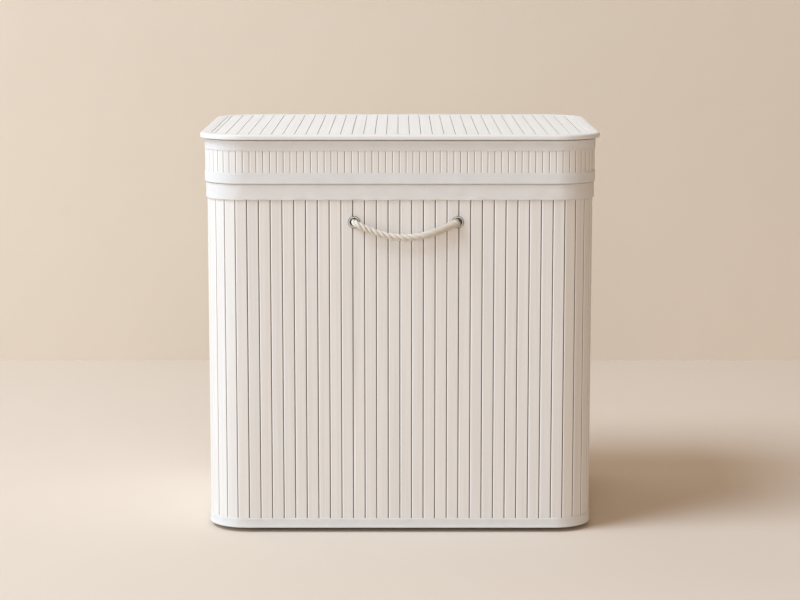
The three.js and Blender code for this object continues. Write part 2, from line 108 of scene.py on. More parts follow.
# %% [markdown]
# ## A walk round the hamper
#
# Nearly every piece follows the same rounded rectangle. `around` says where such a walk has come
# to after some distance, and which way is out. It starts at the middle of the front and goes to
# the right. A curve object could hold the outline too, but the ripples and the weave need the
# distance itself, and arithmetic gives it exactly.

# %% Outline of the body
QUARTER_TURN = math.pi / 2
STRAIGHT_X = HALF_WIDTH - CORNER_RADIUS
STRAIGHT_Y = HALF_DEPTH - CORNER_RADIUS
QUARTER_ARC = CORNER_RADIUS * QUARTER_TURN
GIRTH = 4 * (STRAIGHT_X + STRAIGHT_Y + QUARTER_ARC)
LEGS = [  # start or centre, quarter turns of the heading, length, and whether it turns
    ((0, -HALF_DEPTH), 0, STRAIGHT_X, False),
    ((STRAIGHT_X, -STRAIGHT_Y), 0, QUARTER_ARC, True),
    ((HALF_WIDTH, -STRAIGHT_Y), 1, 2 * STRAIGHT_Y, False),
    ((STRAIGHT_X, STRAIGHT_Y), 1, QUARTER_ARC, True),
    ((STRAIGHT_X, HALF_DEPTH), 2, 2 * STRAIGHT_X, False),
    ((-STRAIGHT_X, STRAIGHT_Y), 2, QUARTER_ARC, True),
    ((-HALF_WIDTH, STRAIGHT_Y), 3, 2 * STRAIGHT_Y, False),
    ((-STRAIGHT_X, -STRAIGHT_Y), 3, QUARTER_ARC, True),
    ((-STRAIGHT_X, -HALF_DEPTH), 0, STRAIGHT_X, False),
]


def around(distance):
    distance = np.asarray(distance, float)
    point, out = np.zeros((len(distance), 2)), np.zeros((len(distance), 2))
    start = 0.0
    for centre, quarters, length, turns in LEGS:
        heading = quarters * QUARTER_TURN
        here = (distance >= start - 1e-9) & (distance <= start + length + 1e-9)
        along = distance[here] - start
        if turns:
            angle = heading - QUARTER_TURN + along / CORNER_RADIUS
            out[here] = np.stack([np.cos(angle), np.sin(angle)], 1)
            point[here] = np.array(centre) + CORNER_RADIUS * out[here]
        else:
            out[here] = [math.sin(heading), -math.cos(heading)]
            point[here] = np.array(centre) + along[:, None] * [math.cos(heading), math.sin(heading)]
        start += length
    return point, out


def stations(straight_step, turn_step):
    """Distances at which a band round the hamper gets its rings, closer together in the corners."""
    found, start = [], 0.0
    for _, _, length, turns in LEGS:
        count = math.ceil(length / (turn_step if turns else straight_step))
        found.extend(start + length * np.arange(count) / count)
        start += length
    return np.array(found)


print(f"girth {GIRTH:.4f} m")

# %% [markdown]
# ## A piece from points
#
# The strips, the rope, the bags and the turned pieces are points and faces worked out with numpy.
# They could be modelled by hand with Blender's own tools, but worked out they keep every size
# exact and come out the same on each run.

# %% A piece from points
def make_piece(name, points, faces, uvs=None, crease=None):
    """A new object at the origin, smooth shaded, with sharp edges past the crease angle."""
    mesh = bpy.data.meshes.new(name)
    mesh.from_pydata([tuple(p) for p in points], [], [tuple(f) for f in faces])
    if uvs is not None:
        layer = mesh.uv_layers.new(name="UVMap")
        layer.uv.foreach_set("vector", np.asarray(uvs, np.float32).ravel())
    mesh.shade_smooth()
    if crease is not None:
        mesh.set_sharp_from_angle(angle=math.radians(crease))
    mesh.update()
    obj = bpy.data.objects.new(name, mesh)
    scene.collection.objects.link(obj)
    return obj


# %% [markdown]
# ## Node trees as sentences
#
# Both shaders and Geometry Nodes are node trees. One small class wraps a socket so that it can be
# added and multiplied like a number, and one method makes any other node: its type, its settings,
# then the values or links of its sockets.

# %% Node trees
class Wire:
    """A socket that takes part in arithmetic. Every operation adds a Math node."""

    def __init__(self, tree, socket):
        self.tree, self.socket = tree, socket

    def math(self, operation, *operands):
        return self.tree.add("ShaderNodeMath", {"operation": operation}, dict(enumerate(operands)))

    def __add__(self, other):
        return self.math("ADD", self, other)

    def __mul__(self, other):
        return self.math("MULTIPLY", self, other)

    def __truediv__(self, other):
        return self.math("DIVIDE", self, other)

    def __rsub__(self, other):
        return self.math("SUBTRACT", other, self)

    def __abs__(self):
        return self.math("ABSOLUTE", self)

    __radd__ = __add__
    __rmul__ = __mul__

    def sine(self):
        return self.math("SINE", self)

    def smooth(self, low, high):
        """0 below low, 1 above high, and an even slope between them."""
        values = {"Value": self, "From Min": low, "From Max": high, "To Min": 0.0, "To Max": 1.0}
        return self.tree.add("ShaderNodeMapRange", {"interpolation_type": "SMOOTHSTEP"}, values)


class Tree:
    """A node tree. add makes one node and gives back the output that is asked for."""

    def __init__(self, tree):
        self.tree = tree

    def add(self, kind, settings=None, sockets=None, output=0):
        node = self.tree.nodes.new(kind)
        for name, value in (settings or {}).items():
            setattr(node, name, value)
        for key, value in (sockets or {}).items():
            self.plug(node.inputs[key], value)
        return Wire(self, node.outputs[output]) if node.outputs else node

    def plug(self, socket, value):
        if isinstance(value, Wire):
            self.tree.links.new(value.socket, socket)
        else:
            socket.default_value = value

    def other(self, wire, output):
        """Another output of the node that a wire comes from."""
        return Wire(self, wire.socket.node.outputs[output])

    def vector(self, x, y, z):
        return self.add("ShaderNodeCombineXYZ", None, {0: x, 1: y, 2: z})

    def parts(self, vector):
        first = self.add("ShaderNodeSeparateXYZ", None, {0: vector})
        return first, self.other(first, 1), self.other(first, 2)


# %% [markdown]
# ## The camera and the light
#
# The camera stands where the photograph was taken from: 3.6 m in front, a little above the lid,
# with a long lens tilted down by 8.6 degrees. A big soft light hangs high at the left front and
# casts the one shadow, a low one fills from the left, a weak one from the front, and a warm dim
# world does the rest.

# %% Camera
LENS, SENSOR = 103.32, 36
CAMERA_PLACE = (0, -3.6306, 0.87578)
CAMERA_TILT = 8.609
camera = bpy.data.objects.new("camera", bpy.data.cameras.new("camera"))
camera.data.lens, camera.data.sensor_width = LENS, SENSOR
camera.data.clip_end = 60
camera.location = CAMERA_PLACE
camera.rotation_euler = (math.radians(90 - CAMERA_TILT), 0, 0)
scene.collection.objects.link(camera)
scene.camera = camera

# %% Light
scene.view_settings.view_transform = "Standard"
scene.view_settings.look = "None"
scene.world = bpy.data.worlds.new("room")
scene.world.use_nodes = True
surround = scene.world.node_tree.nodes["Background"].inputs
surround["Color"].default_value = (1.0, 0.68, 0.41, 1)
surround["Strength"].default_value = 0.28
LIT_POINT = Vector((0, 0, 0.3))


def soft_light(name, place, size, power, colour):
    lamp = bpy.data.lights.new(name, "AREA")
    lamp.shape, lamp.size = "DISK", size
    lamp.energy, lamp.color = power, colour
    obj = bpy.data.objects.new(name, lamp)
    obj.location = place
    obj.rotation_euler = (LIT_POINT - Vector(place)).to_track_quat("-Z", "Y").to_euler()
    scene.collection.objects.link(obj)


soft_light("window", (-4.152, -2.208, 6.772), 4.2, 578, (0.69, 0.835, 1.0))
soft_light("side_fill", (-4.627, -1.684, 1.168), 3.5, 103, (0.65, 0.825, 1.0))
soft_light("front_fill", (0, -4.698, 2.01), 3.0, 45, (1.0, 0.98, 1.0))
print("camera, three soft lights and the world are in place")

# %% [markdown]
# ## Finishes
#
# Each finish is a small tree of its own. The colour and the bump vary over the surface, and so
# does the roughness of the hard pieces. All else is a plain number on the shader. A picture could
# be painted for each instead, but a tree stays sharp from near by, and its patterns keep their
# real size on every piece.

# %% A finish starts as a plain shader
class Finish(Tree):
    """The tree of a new material. A colour is three numbers or a wire."""

    def __init__(self, name, colour, roughness, metallic=0.0):
        self.material = bpy.data.materials.new(name)
        self.material.use_nodes = True
        super().__init__(self.material.node_tree)
        self.shade(Base_Color=(*colour, 1), Roughness=roughness, Metallic=metallic)

    def shade(self, **values):
        """Sets or links sockets of the shader, whose names have spaces where these have none."""
        inputs = self.tree.nodes["Principled BSDF"].inputs
        for name, value in values.items():
            self.plug(inputs[name.replace("_", " ")], value)

    def object_place(self, x=1, y=1, z=1):
        """Object coordinates, drawn out by a factor on each axis."""
        place = self.add("ShaderNodeTexCoord", None, None, "Object")
        return self.add("ShaderNodeVectorMath", {"operation": "MULTIPLY"}, {0: place, 1: (x, y, z)})

    def cloth_place(self):
        return self.parts(self.add("ShaderNodeUVMap", {"uv_map": "UVMap"}))[:2]

    def marked(self, name):
        return self.add("ShaderNodeAttribute", {"attribute_name": name}, None, "Fac")

    def speckle(self, place, scale, detail=2.0, roughness=0.5):
        values = {"Vector": place, "Scale": scale, "Detail": detail, "Roughness": roughness}
        return self.add("ShaderNodeTexNoise", None, values)

    def mix(self, share, first, second, way="MIX"):
        first, second = (c if isinstance(c, Wire) else (*c, 1) for c in (first, second))
        values = {"Factor": share, 6: first, 7: second}
        return self.add("ShaderNodeMix", {"data_type": "RGBA", "blend_type": way}, values, 2)

    def done(self, colour, height, depth, **others):
        """Links the colour and a bump of a height from 0 to 1 that is this many metres deep."""
        values = {"Height": height, "Distance": depth, "Strength": 1.0}
        self.shade(Base_Color=colour, Normal=self.add("ShaderNodeBump", None, values), **others)
        return self.material


def darker(colour, share):
    return tuple(c * (1 - share) for c in colour)


# %% [markdown]
# ### The room
#
# The room is a plain pale floor and a plain pale wall. Both are clear from their backs, so that
# the hamper can be looked at from behind and from below.

# %% Room
WALL_Y = 1.28
ROOM_REACH = 6
ROOM_HEIGHT = 5


def plain_room(name, colour, mottle, depth):
    look = Finish(name, colour, 0.9)
    cloud = look.speckle(look.object_place(), 2.2, 4.0)
    grain = look.speckle(look.object_place(), 9, 5.0)
    reverse = look.add("ShaderNodeNewGeometry", None, None, "Backfacing")
    tint = look.mix(cloud, darker(colour, mottle), colour)
    return look.done(tint, grain, depth, Alpha=1 - reverse)


def plane(name, corners, material):
    obj = make_piece(name, corners, [(0, 1, 2, 3)])
    obj.data.materials.append(material)
    obj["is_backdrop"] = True


left, right, top = -ROOM_REACH, ROOM_REACH, ROOM_HEIGHT
floor_corners = [(left, left, 0), (right, left, 0), (right, right, 0), (left, right, 0)]
plane("floor", floor_corners, plain_room("pale_floor", (0.742, 0.63, 0.518), 0.04, 0.0006))
wall_corners = [(left, WALL_Y, 0), (right, WALL_Y, 0), (right, WALL_Y, top), (left, WALL_Y, top)]
plane("room_wall", wall_corners, plain_room("pale_wall", (0.795, 0.679, 0.548), 0.05, 0.0015))
print("room wall at", WALL_Y, "m behind the hamper")

# %% [markdown]
# ## Painted bamboo
#
# The slats are bamboo under a thin matt paint. The fibres still show as fine streaks along each
# slat, and no two slats take the paint alike, so each carries a number called `slat_tone` that
# shifts its colour a little. Two marks paint light and shade into the colour: the side face of
# each slat that faces back along its path is painted nearly black, as painted shade in the gap
# between slats, and a pale strip on the face beside it is a painted highlight of the lit edge.
# The streaks are noise that is drawn out along the grain.

# %% Painted bamboo
COOL_TONE, WARM_TONE = (0.972, 0.976, 0.976), (1.0, 0.992, 0.982)
# a painted highlight beside each seam, and painted shade for the gaps between slats
HIGHLIGHT_PAINT, SEAM_SHADE_COLOUR = (0.95, 0.93, 0.9), (0.27, 0.21, 0.15)


def painted_bamboo(name, along, pale, deep):
    look = Finish(name, pale, 0.6)
    tone = look.marked("slat_tone")
    shift = look.vector(tone * 7.0, tone * 3.0, tone * 5.0)

    def drawn_out(across_grain, with_grain, detail):
        scale = [across_grain] * 3
        scale[along] = with_grain
        values = {0: look.object_place(*scale), 1: shift}
        place = look.add("ShaderNodeVectorMath", {"operation": "ADD"}, values)
        return look.speckle(place, 1.0, detail)

    streaks, clouds = drawn_out(900.0, 9.0, 3.0), drawn_out(160.0, 3.0, 2.0)
    shade = streaks * 0.35 + clouds * 0.65
    paint = look.mix(shade.smooth(0.3, 0.7), deep, pale)
    paint = look.mix(1.0, paint, look.mix(tone, COOL_TONE, WARM_TONE), "MULTIPLY")
    # Painted highlight: a pale strip along the edge of each slat's face, beside the seam.
    paint = look.mix(look.marked("edge_highlight").smooth(0.3, 0.5), paint, HIGHLIGHT_PAINT)
    # Painted shade: the side face in the gap between slats is painted nearly black.
    paint = look.mix(look.marked("seam_shade"), paint, SEAM_SHADE_COLOUR)
    return look.done(paint, streaks * 0.7 + clouds * 0.3, 0.00012, Roughness=0.52 + shade * 0.16)


X, Y, Z = 0, 1, 2
wall_pale, wall_deep = (0.835, 0.803, 0.758), (0.775, 0.735, 0.685)
upright_bamboo = painted_bamboo("painted_bamboo_upright", Z, wall_pale, wall_deep)
# The lid's paint is paler than that of the wall and the rim: painted light on the lid's top.
lid_bamboo = painted_bamboo("painted_bamboo_lid", Y, (0.893, 0.862, 0.812), (0.847, 0.812, 0.757))
rim_paint = painted_bamboo("painted_rim", X, (0.83, 0.8, 0.76), (0.8, 0.765, 0.72))
print("paints:", [paint.name for paint in (upright_bamboo, lid_bamboo, rim_paint)])

# %% [markdown]
# ## Woven cloths
#
# Canvas trim, liner cotton and hinge tape are all plain weaves: each thread goes over one and
# under the next. Real threads would take millions of faces for bumps of a fifth of a millimetre.
# Two sine waves of the UV map, which is in metres, make the same chequer of bumps, and a soft
# noise gives the slubs and the slightly uneven tone of undyed cotton.

# %% Woven cloths
def woven(name, colour, thread, depth, mottle, nap=0.15):
    look = Finish(name, colour, 0.92)
    u, v = look.cloth_place()
    turn = math.pi / thread
    slub = look.speckle(look.vector(u * 260.0, v * 1400.0, 0.0), 1.0)
    warp, weft = (u * turn + slub * 0.6).sine(), (v * turn).sine()
    over = (warp * weft).smooth(-1.0, 1.0)
    hump = abs(warp) * abs(weft)
    patch = look.speckle(look.vector(u * 28.0, v * 60.0, 0.0), 1.0, 3.0)
    grain = look.speckle(look.vector(u * 420.0, v * 420.0, 0.0), 1.0)
    shade = patch * 0.55 + grain * 0.3 + over * 0.15
    look.shade(Sheen_Weight=nap, Sheen_Roughness=0.6, Specular_IOR_Level=0.25)
    dye = look.mix(shade.smooth(0.3, 0.7), darker(colour, mottle), colour)
    return look.done(dye, hump * 0.6 + over * 0.25 + slub * 0.15, depth)


canvas = woven("trim_canvas", (0.812, 0.8, 0.774), 0.0007, 0.00022, 0.075)
# The glue cloth's dark brown is painted shade: it is what shows in the gaps between slats.
scrim = woven("glue_scrim", (0.46, 0.38, 0.3), 0.0009, 0.0002, 0.1)
liner = woven("liner_cotton", (0.8, 0.775, 0.74), 0.0005, 0.00014, 0.06, 0.04)
thread_cotton = woven("stitch_thread", (0.86, 0.835, 0.79), 0.0003, 0.00008, 0.05)
print("cloths:", [cloth.name for cloth in (canvas, scrim, liner, thread_cotton)])

# %% [markdown]
# ## Rope handles
#
# A handle is a soft cotton rope of three strands. It comes through an eyelet, turns along the
# wall, hangs in a lopsided curve and goes into the second eyelet. Its left half is firmly twisted
# and its right half has worked loose, so the grooves between the strands get shallower on the way.
#
# Three round cords could be wound about each other, but they would cross where the twist loosens.
# A three-lobed section that turns as it follows the path makes the strands in one closed mesh. The
# rope swings with the handle while its ends stay in the wall. It is made in two pieces, and the
# last stretch, at the second eyelet, is a piece of its own.

# %% Rope finish
def rope_finish():
    look = Finish("rope_cotton", (0.8, 0.73, 0.63), 0.88)
    u, v = look.cloth_place()
    fibre = look.speckle(look.vector(u * 14.0 + v * 500.0, v * 220.0, 0.0), 1.0, 3.0)
    yarn = ((u * 24.0 + v * 900.0).sine() + fibre * 1.2).smooth(-1.0, 2.0)
    fuzz = look.speckle(look.object_place(), 900)
    # Painted shade: the grooves between the strands are darkened.
    shade = (yarn * 0.45 + fibre * 0.35 + fuzz * 0.2) * (1 - look.marked("groove") * 0.9)
    strand_colour = look.mix(shade.smooth(0.1, 0.6), (0.6, 0.51, 0.4), (0.83, 0.765, 0.675))
    # The loose half of the rope is darker.
    loose_darkened = look.mix(look.marked("loose_half_darkening"), strand_colour, (0.76, 0.73, 0.67), "MULTIPLY")
    look.shade(Sheen_Weight=0.3, Specular_IOR_Level=0.2)
    return look.done(loose_darkened, yarn * 0.7 + fuzz * 0.3, 0.00025)


rope_cotton = rope_finish()
print(rope_cotton.name, "has", len(rope_cotton.node_tree.nodes), "nodes")

# %% Rope route
ROPE_RADIUS = 5.4 * MM
ROPE_LAY = 29 * MM
ROPE_STEP = 1.0 * MM
HANDLE_OUT = 8 * MM  # of the turning axis from the slat faces
KNOT_FRONT = 8.1 * MM  # behind the slat faces
KNOT_LENGTH = 11 * MM
KNOT_RADIUS = 7.6 * MM


def lengths_along(section, closed):
    points = np.array(section + section[:1] if closed else section)
    return np.concatenate([[0], np.cumsum(np.linalg.norm(np.diff(points, axis=0), axis=1))])


def bezier(points, t):
    a, b, c, d = (np.array(p, float) for p in points)
    t = np.asarray(t, float)[:, None]
    return (1 - t) ** 3 * a + 3 * t * (1 - t) ** 2 * b + 3 * t * t * (1 - t) * c + t**3 * d


def evenly(points, step):
    gone = lengths_along(points, False)
    at = np.linspace(0, gone[-1], max(2, round(gone[-1] / step) + 1))
    return np.stack([np.interp(at, gone, points[:, k]) for k in range(3)], 1)


def rope_route():
    """The rope's middle line, from the knot behind the left eyelet to the one behind the right,
    about the middle of the turning axis. Until the last line it is in millimetres. -Y is out."""
    half = HANDLE_SPAN / MM / 2
    hanging = [(-half, 0, 0), (8.7, -0.5, -49), (60, 1.2, -3), (half, 0, 0)]
    middle = bezier(hanging, np.linspace(0.11, 0.93, 80))
    ahead = [b - a for a, b in (middle[:2], middle[-2:])]
    way_in, way_out = (way / np.linalg.norm(way) for way in ahead)
    mouth = 8.6
    bend_in, bend_out = (-half + 0.9, mouth - 13.5, -0.3), (half - 3.4, mouth - 12, 0.2)
    left = [(-half + 0.4, mouth, -0.3), bend_in, middle[0] - way_in * 13, middle[0]]
    right = [middle[-1], middle[-1] + way_out * 9, bend_out, (half - 2.2, mouth, 0)]
    knot_y = (HANDLE_OUT + KNOT_FRONT + KNOT_LENGTH / 2) / MM
    start = np.linspace((-half, knot_y, 0), left[0], 6)
    end = np.linspace(right[-1], (half, knot_y, 0), 6)
    t = np.linspace(0, 1, 40)
    whole = [start[:-1], bezier(left, t), middle[1:-1], bezier(right, t), end[1:]]
    return evenly(np.concatenate(whole) * MM, ROPE_STEP)


ROUTE = rope_route()
print(f"rope of {len(ROUTE) * ROPE_STEP:.3f} m, drop {-ROUTE[:, 2].min() / MM:.1f} mm")

# %% Rope mesh
ROPE_SIDES = 48
THIRD = 2 * math.pi / 3
LOOSE_GROOVE, FIRM_GROOVE = 0.8 * MM, 2.5 * MM  # from the rope's middle to that of a strand


def ramp(value, start, end):
    """0 at the start and before it, 1 at the end and past it."""
    return np.clip((value - start) / (end - start), 0, 1)


def soft(share):
    return share * share * (3 - 2 * share)


def lay_grid(rows, columns, u, v, wrap_rows, wrap_columns):
    """Quads and their UVs for a grid of points. u runs with the rows and v with the columns."""
    faces, uvs = [], []
    for i in range(rows if wrap_rows else rows - 1):
        k = (i + 1) % rows
        for j in range(columns if wrap_columns else columns - 1):
            n = (j + 1) % columns
            faces.append((i * columns + j, k * columns + j, k * columns + n, i * columns + n))
            uvs.extend([(u[i], v[j]), (u[i + 1], v[j]), (u[i + 1], v[j + 1]), (u[i], v[j + 1])])
    return faces, uvs


def mend_normals(obj):
    """Merges what coincides and points every face outwards."""
    bm = bmesh.new()
    bm.from_mesh(obj.data)
    bmesh.ops.remove_doubles(bm, verts=bm.verts, dist=1e-6)
    bmesh.ops.recalc_face_normals(bm, faces=bm.faces)
    bm.to_mesh(obj.data)
    bm.free()
    return obj


def mark(obj, name, values=None, domain="POINT"):
    """Keeps a number on each point or face, for the finish to read."""
    layer = obj.data.attributes.new(name, "FLOAT", domain)
    if values is not None:
        layer.data.foreach_set("value", np.asarray(values, np.float32))


def carried_frame(route):
    """Two directions across each point of a route, which don't twist on the way."""
    tangent = np.gradient(route, axis=0)
    tangent /= np.linalg.norm(tangent, axis=1)[:, None]
    across = np.zeros_like(route)
    across[0] = np.cross(tangent[0], [0, 0, 1])
    for i in range(1, len(route)):
        carried = across[i - 1] - tangent[i] * (across[i - 1] @ tangent[i])
        across[i] = carried / np.linalg.norm(carried)
    return across, np.cross(tangent, across)


def rope_mesh(name, first, last, middle, turn):
    """The rope between two of its rings. Its section has three lobes and turns once in each lay."""
    gone = np.arange(len(ROUTE)) * ROPE_STEP
    firm = 1 - ramp(gone / gone[-1], 0.42, 0.72) ** 1.5
    offset = LOOSE_GROOVE + (FIRM_GROOVE - LOOSE_GROOVE) * firm
    nipped = 1 - ramp(gone[-1] - gone, 15.3 * MM, 24.3 * MM)
    girth = (1.07 - 0.1 * firm) * (1 - 0.2 * soft(nipped))
    twist = np.cumsum(ROPE_STEP / ROPE_LAY * (0.62 + 0.38 * firm)) * 2 * math.pi
    section = np.arange(ROPE_SIDES) * 2 * math.pi / ROPE_SIDES
    lobe = np.mod(section + THIRD / 2, THIRD) - THIRD / 2
    strand, sideways = (ROPE_RADIUS - offset)[:, None], offset[:, None] * np.sin(lobe)
    radius = offset[:, None] * np.cos(lobe) + np.sqrt(strand**2 - sideways**2)
    radius *= girth[:, None]
    angle = section + twist[:, None]
    across, up = (way[:, None] for way in carried_frame(ROUTE))
    x, y = radius * np.cos(angle), radius * np.sin(angle)
    rings = ROUTE[:, None] + x[:, :, None] * across + y[:, :, None] * up
    # painted shade in the grooves between strands, deeper where the twist is firm
    groove = (np.abs(lobe) / (THIRD / 2)) ** 5 * (0.25 + 0.75 * firm[:, None])
    # darker along the loose half
    loose_half_darkening = np.broadcast_to(1 - firm[:, None], groove.shape)

    cut = slice(first, last + 1)
    points = rings[cut].reshape(-1, 3) * turn + middle
    count = last - first + 1
    u = np.linspace(0, 2 * math.pi, ROPE_SIDES + 1)
    faces, uvs = lay_grid(count, ROPE_SIDES, gone[first : last + 2], u, False, True)
    uvs = [(b, a) for a, b in uvs]
    ends = [points[:ROPE_SIDES].mean(axis=0), points[-ROPE_SIDES:].mean(axis=0)]
    for centre, ring in ((len(points), 0), (len(points) + 1, count - 1)):
        for k in range(ROPE_SIDES):
            a, b = ring * ROPE_SIDES + k, ring * ROPE_SIDES + (k + 1) % ROPE_SIDES
            faces.append((centre, b, a) if ring == 0 else (centre, a, b))
            uvs.extend([(0, 0)] * 3)
    obj = make_piece(name, np.vstack([points, ends]), faces, uvs, 60)
    mark(obj, "groove", np.append(groove[cut], [0, 0]))
    mark(obj, "loose_half_darkening", np.append(loose_half_darkening[cut], [1, 1]))
    obj.data.materials.append(rope_cotton)
    return mend_normals(obj)


# %% [markdown]
# ## Stopper knots and eyelets
#
# Behind the wall a tight overhand knot keeps each end from slipping out. A real one could be tied
# from the rope's path, but it is hidden, so a lump with two grooves wound round it will do. The
# eyelets are rolled sheet metal: a crown outside, a barrel through the wall and a curled lip
# against a washer inside. They are round about one line, which is what a lathe is for.

# %% Metal finish
def brushed(name, colour, roughness, wear, metallic=1.0):
    look = Finish(name, colour, roughness, metallic)
    smear = look.speckle(look.object_place(), 700, 3.0)
    spots = look.speckle(look.object_place(), 240, 4.0)
    polish = look.mix(spots.smooth(0.35, 0.7), darker(colour, wear), colour)
    # Painted shade: nearly black where marked, at the foot and in the barrel of each eyelet.
    dark = look.mix(look.marked("eyelet_shade"), polish, (0.07, 0.06, 0.05))
    return look.done(dark, smear, 0.00002, Roughness=roughness - 0.1 + smear * 0.2)


eyelet_metal = brushed("eyelet_nickel", (0.8, 0.78, 0.74), 0.3, 0.2, 0.4)
hoop_steel = brushed("hoop_spring_steel", (0.5, 0.5, 0.5), 0.42, 0.3)
print("metals:", eyelet_metal.name, hoop_steel.name)

# %% Turned pieces
def arc(x, y, reach_x, reach_y, start, end, count):
    """Points round a middle. The start and the end are in half turns."""
    angles = np.linspace(start, end, count) * math.pi
    return [(x + reach_x * math.cos(angle), y + reach_y * math.sin(angle)) for angle in angles]


def lathe(name, profile, place, direction, sides=48, crease=35):
    """A turned piece whose closed profile is (radius, distance along the direction)."""
    axis = Vector(direction).normalized()
    across = axis.orthogonal().normalized()
    up = axis.cross(across)
    angles = np.arange(sides) * 2 * math.pi / sides
    points = [
        Vector(place) + axis * along + (across * math.cos(angle) + up * math.sin(angle)) * radius
        for angle in angles
        for radius, along in profile
    ]
    u, v = np.append(angles, 2 * math.pi), lengths_along(profile, True)
    faces, uvs = lay_grid(sides, len(profile), u, v, True, True)
    return mend_normals(make_piece(name, points, faces, uvs, crease))


# %% Eyelets
EYELET_RADIUS = 9.15 * MM
EYELET_BORE = 6.0 * MM
SHEET_METAL = 0.7 * MM
BARREL_RADIUS = EYELET_BORE + SHEET_METAL
LIP_BACK = 7.8 * MM  # behind the slat faces
CROWN_MIDDLE = (BARREL_RADIUS + EYELET_RADIUS) / 2 - 0.35 * MM
CROWN_HALF = (EYELET_RADIUS - EYELET_BORE) / 2

eyelet_profile = [
    (BARREL_RADIUS, 0.3 * MM),
    (EYELET_RADIUS - 0.15 * MM, 0.3 * MM),
    *arc(CROWN_MIDDLE, 0.45 * MM, CROWN_HALF, 1.35 * MM, 0.12, 1.0, 9),
    (EYELET_BORE, 0.2 * MM),
    (EYELET_BORE, 0.4 * MM - LIP_BACK),
    *arc(BARREL_RADIUS + 0.25 * MM, 0.5 * MM - LIP_BACK, 0.95 * MM, 0.5 * MM, 1.0, 2.0, 6),
    (BARREL_RADIUS, 0.75 * MM - LIP_BACK),
][::-1]
print(len(eyelet_profile), "points round the section of an eyelet")


def eyelet(name, place, facing):
    """Painted shade darkens the foot of the crown and the inside of the barrel."""
    ring = lathe(name, eyelet_profile, place, (0, facing, 0))
    at = np.array([vertex.co[:] for vertex in ring.data.vertices])
    radius = np.hypot(at[:, 0] - place[0], at[:, 2] - place[2]) / MM
    # painted shade at the foot of the crown and inside the barrel
    mark(ring, "eyelet_shade", ramp(radius, 8.1, 8.5) + ramp(radius, 6.75, 6.45))
    return ring


# %% Knots
def knot(name, place, facing):
    """A lump with two grooves that wind round it, like rope drawn tight over itself."""
    rows, sides = 25, 40
    share = np.linspace(0, 1, rows)[:, None]
    angle = np.arange(sides) * 2 * math.pi / sides
    body = np.sin(math.pi * np.clip(share, 0.02, 0.98)) ** 0.45
    wave = np.cos(2 * angle + 5.2 * share * math.pi)
    radius = KNOT_RADIUS * body * (0.93 + 0.07 * wave)
    out = np.broadcast_to(facing * (-KNOT_FRONT - KNOT_LENGTH * (1 - share)), radius.shape)
    points = np.stack([radius * np.cos(angle), out, radius * np.sin(angle)], 2)
    u = np.linspace(0, 2 * math.pi, sides + 1)
    v = np.linspace(0, KNOT_LENGTH, rows + 1)
    faces, uvs = lay_grid(rows, sides, v, u, False, True)
    uvs = [(b, a) for a, b in uvs]
    for ring in (0, rows - 1):
        faces.append([ring * sides + k for k in range(sides)])
        uvs.extend([(0, 0)] * sides)
    obj = mend_normals(make_piece(name, points.reshape(-1, 3) + place, faces, uvs))
    mark(obj, "groove")
    return obj


# %% A piece takes its place
def take_place(piece, body, slot, *nodes, finish=None):
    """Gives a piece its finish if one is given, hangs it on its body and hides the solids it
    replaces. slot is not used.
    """
    if finish is not None:
        piece.data.materials.append(finish)
    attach(piece, body)
    if nodes:
        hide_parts(*nodes)
    return piece


# %% Put the handles together
BLEND_START, BLEND_END = 4 * MM, 13 * MM
SPLIT = int(np.argmax(ROUTE[:, 0] > HANDLE_SPAN / 2 - BLEND_END - 2 * MM))
for facing, face in ((-1, "front"), (1, "rear")):
    axis_y = facing * (HALF_DEPTH + HANDLE_OUT)
    middle = (-facing * HANDLE_MIDDLE, axis_y, HANDLE_HEIGHT)
    turn = np.array([-facing, -facing, 1])
    hand = {facing: "left", -facing: "right"}
    mouth = {side: middle[0] - facing * side * HANDLE_SPAN / 2 for side in (-1, 1)}
    for side in (-1, 1):
        place = (mouth[side], facing * HALF_DEPTH, HANDLE_HEIGHT)
        where = f"{face}_{hand[side]}"
        ring = eyelet(f"eyelet_ring_{where}", place, facing)
        take_place(ring, "hamper_body", "eyelet_metal", f"eyelet_{where}", finish=eyelet_metal)
        lump = knot(f"stopper_knot_{where}", place, facing)
        take_place(lump, "hamper_body", "rope_cotton", finish=rope_cotton)
    rope = rope_mesh(f"rope_{face}", 0, SPLIT, middle, turn)
    tail = rope_mesh(f"rope_tail_{face}", SPLIT, len(ROUTE) - 1, middle, turn)
    for piece, side in ((rope, -1), (tail, 1)):
        inwards = facing * side
        start = (mouth[side] + inwards * BLEND_START, axis_y, HANDLE_HEIGHT)
        end = (mouth[side] + inwards * BLEND_END, axis_y, HANDLE_HEIGHT)
        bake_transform(piece)
        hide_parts(f"rope_end_{face}_{hand[side]}")
    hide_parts(f"{face}_rope")
    print(face, "rope:", rope.name, "split at ring", SPLIT)

# %% [markdown]
# ## Slat mats
#
# The wall is a mat of 109 flat slats, the lid's skirt is one of 191 narrow slats, and the lid's
# top is one of 34 slats. A slat is the same thing each time, so one Geometry Nodes tree lays them
# all: it walks a path, sets a slat at each pitch, turns it to the path and gives it a number of
# its own for the paint. It ends in Realize Instances, because a copy that is only an instance
# would be lost on export. The stitches further down are laid along a path too, so both trees
# share their steps.

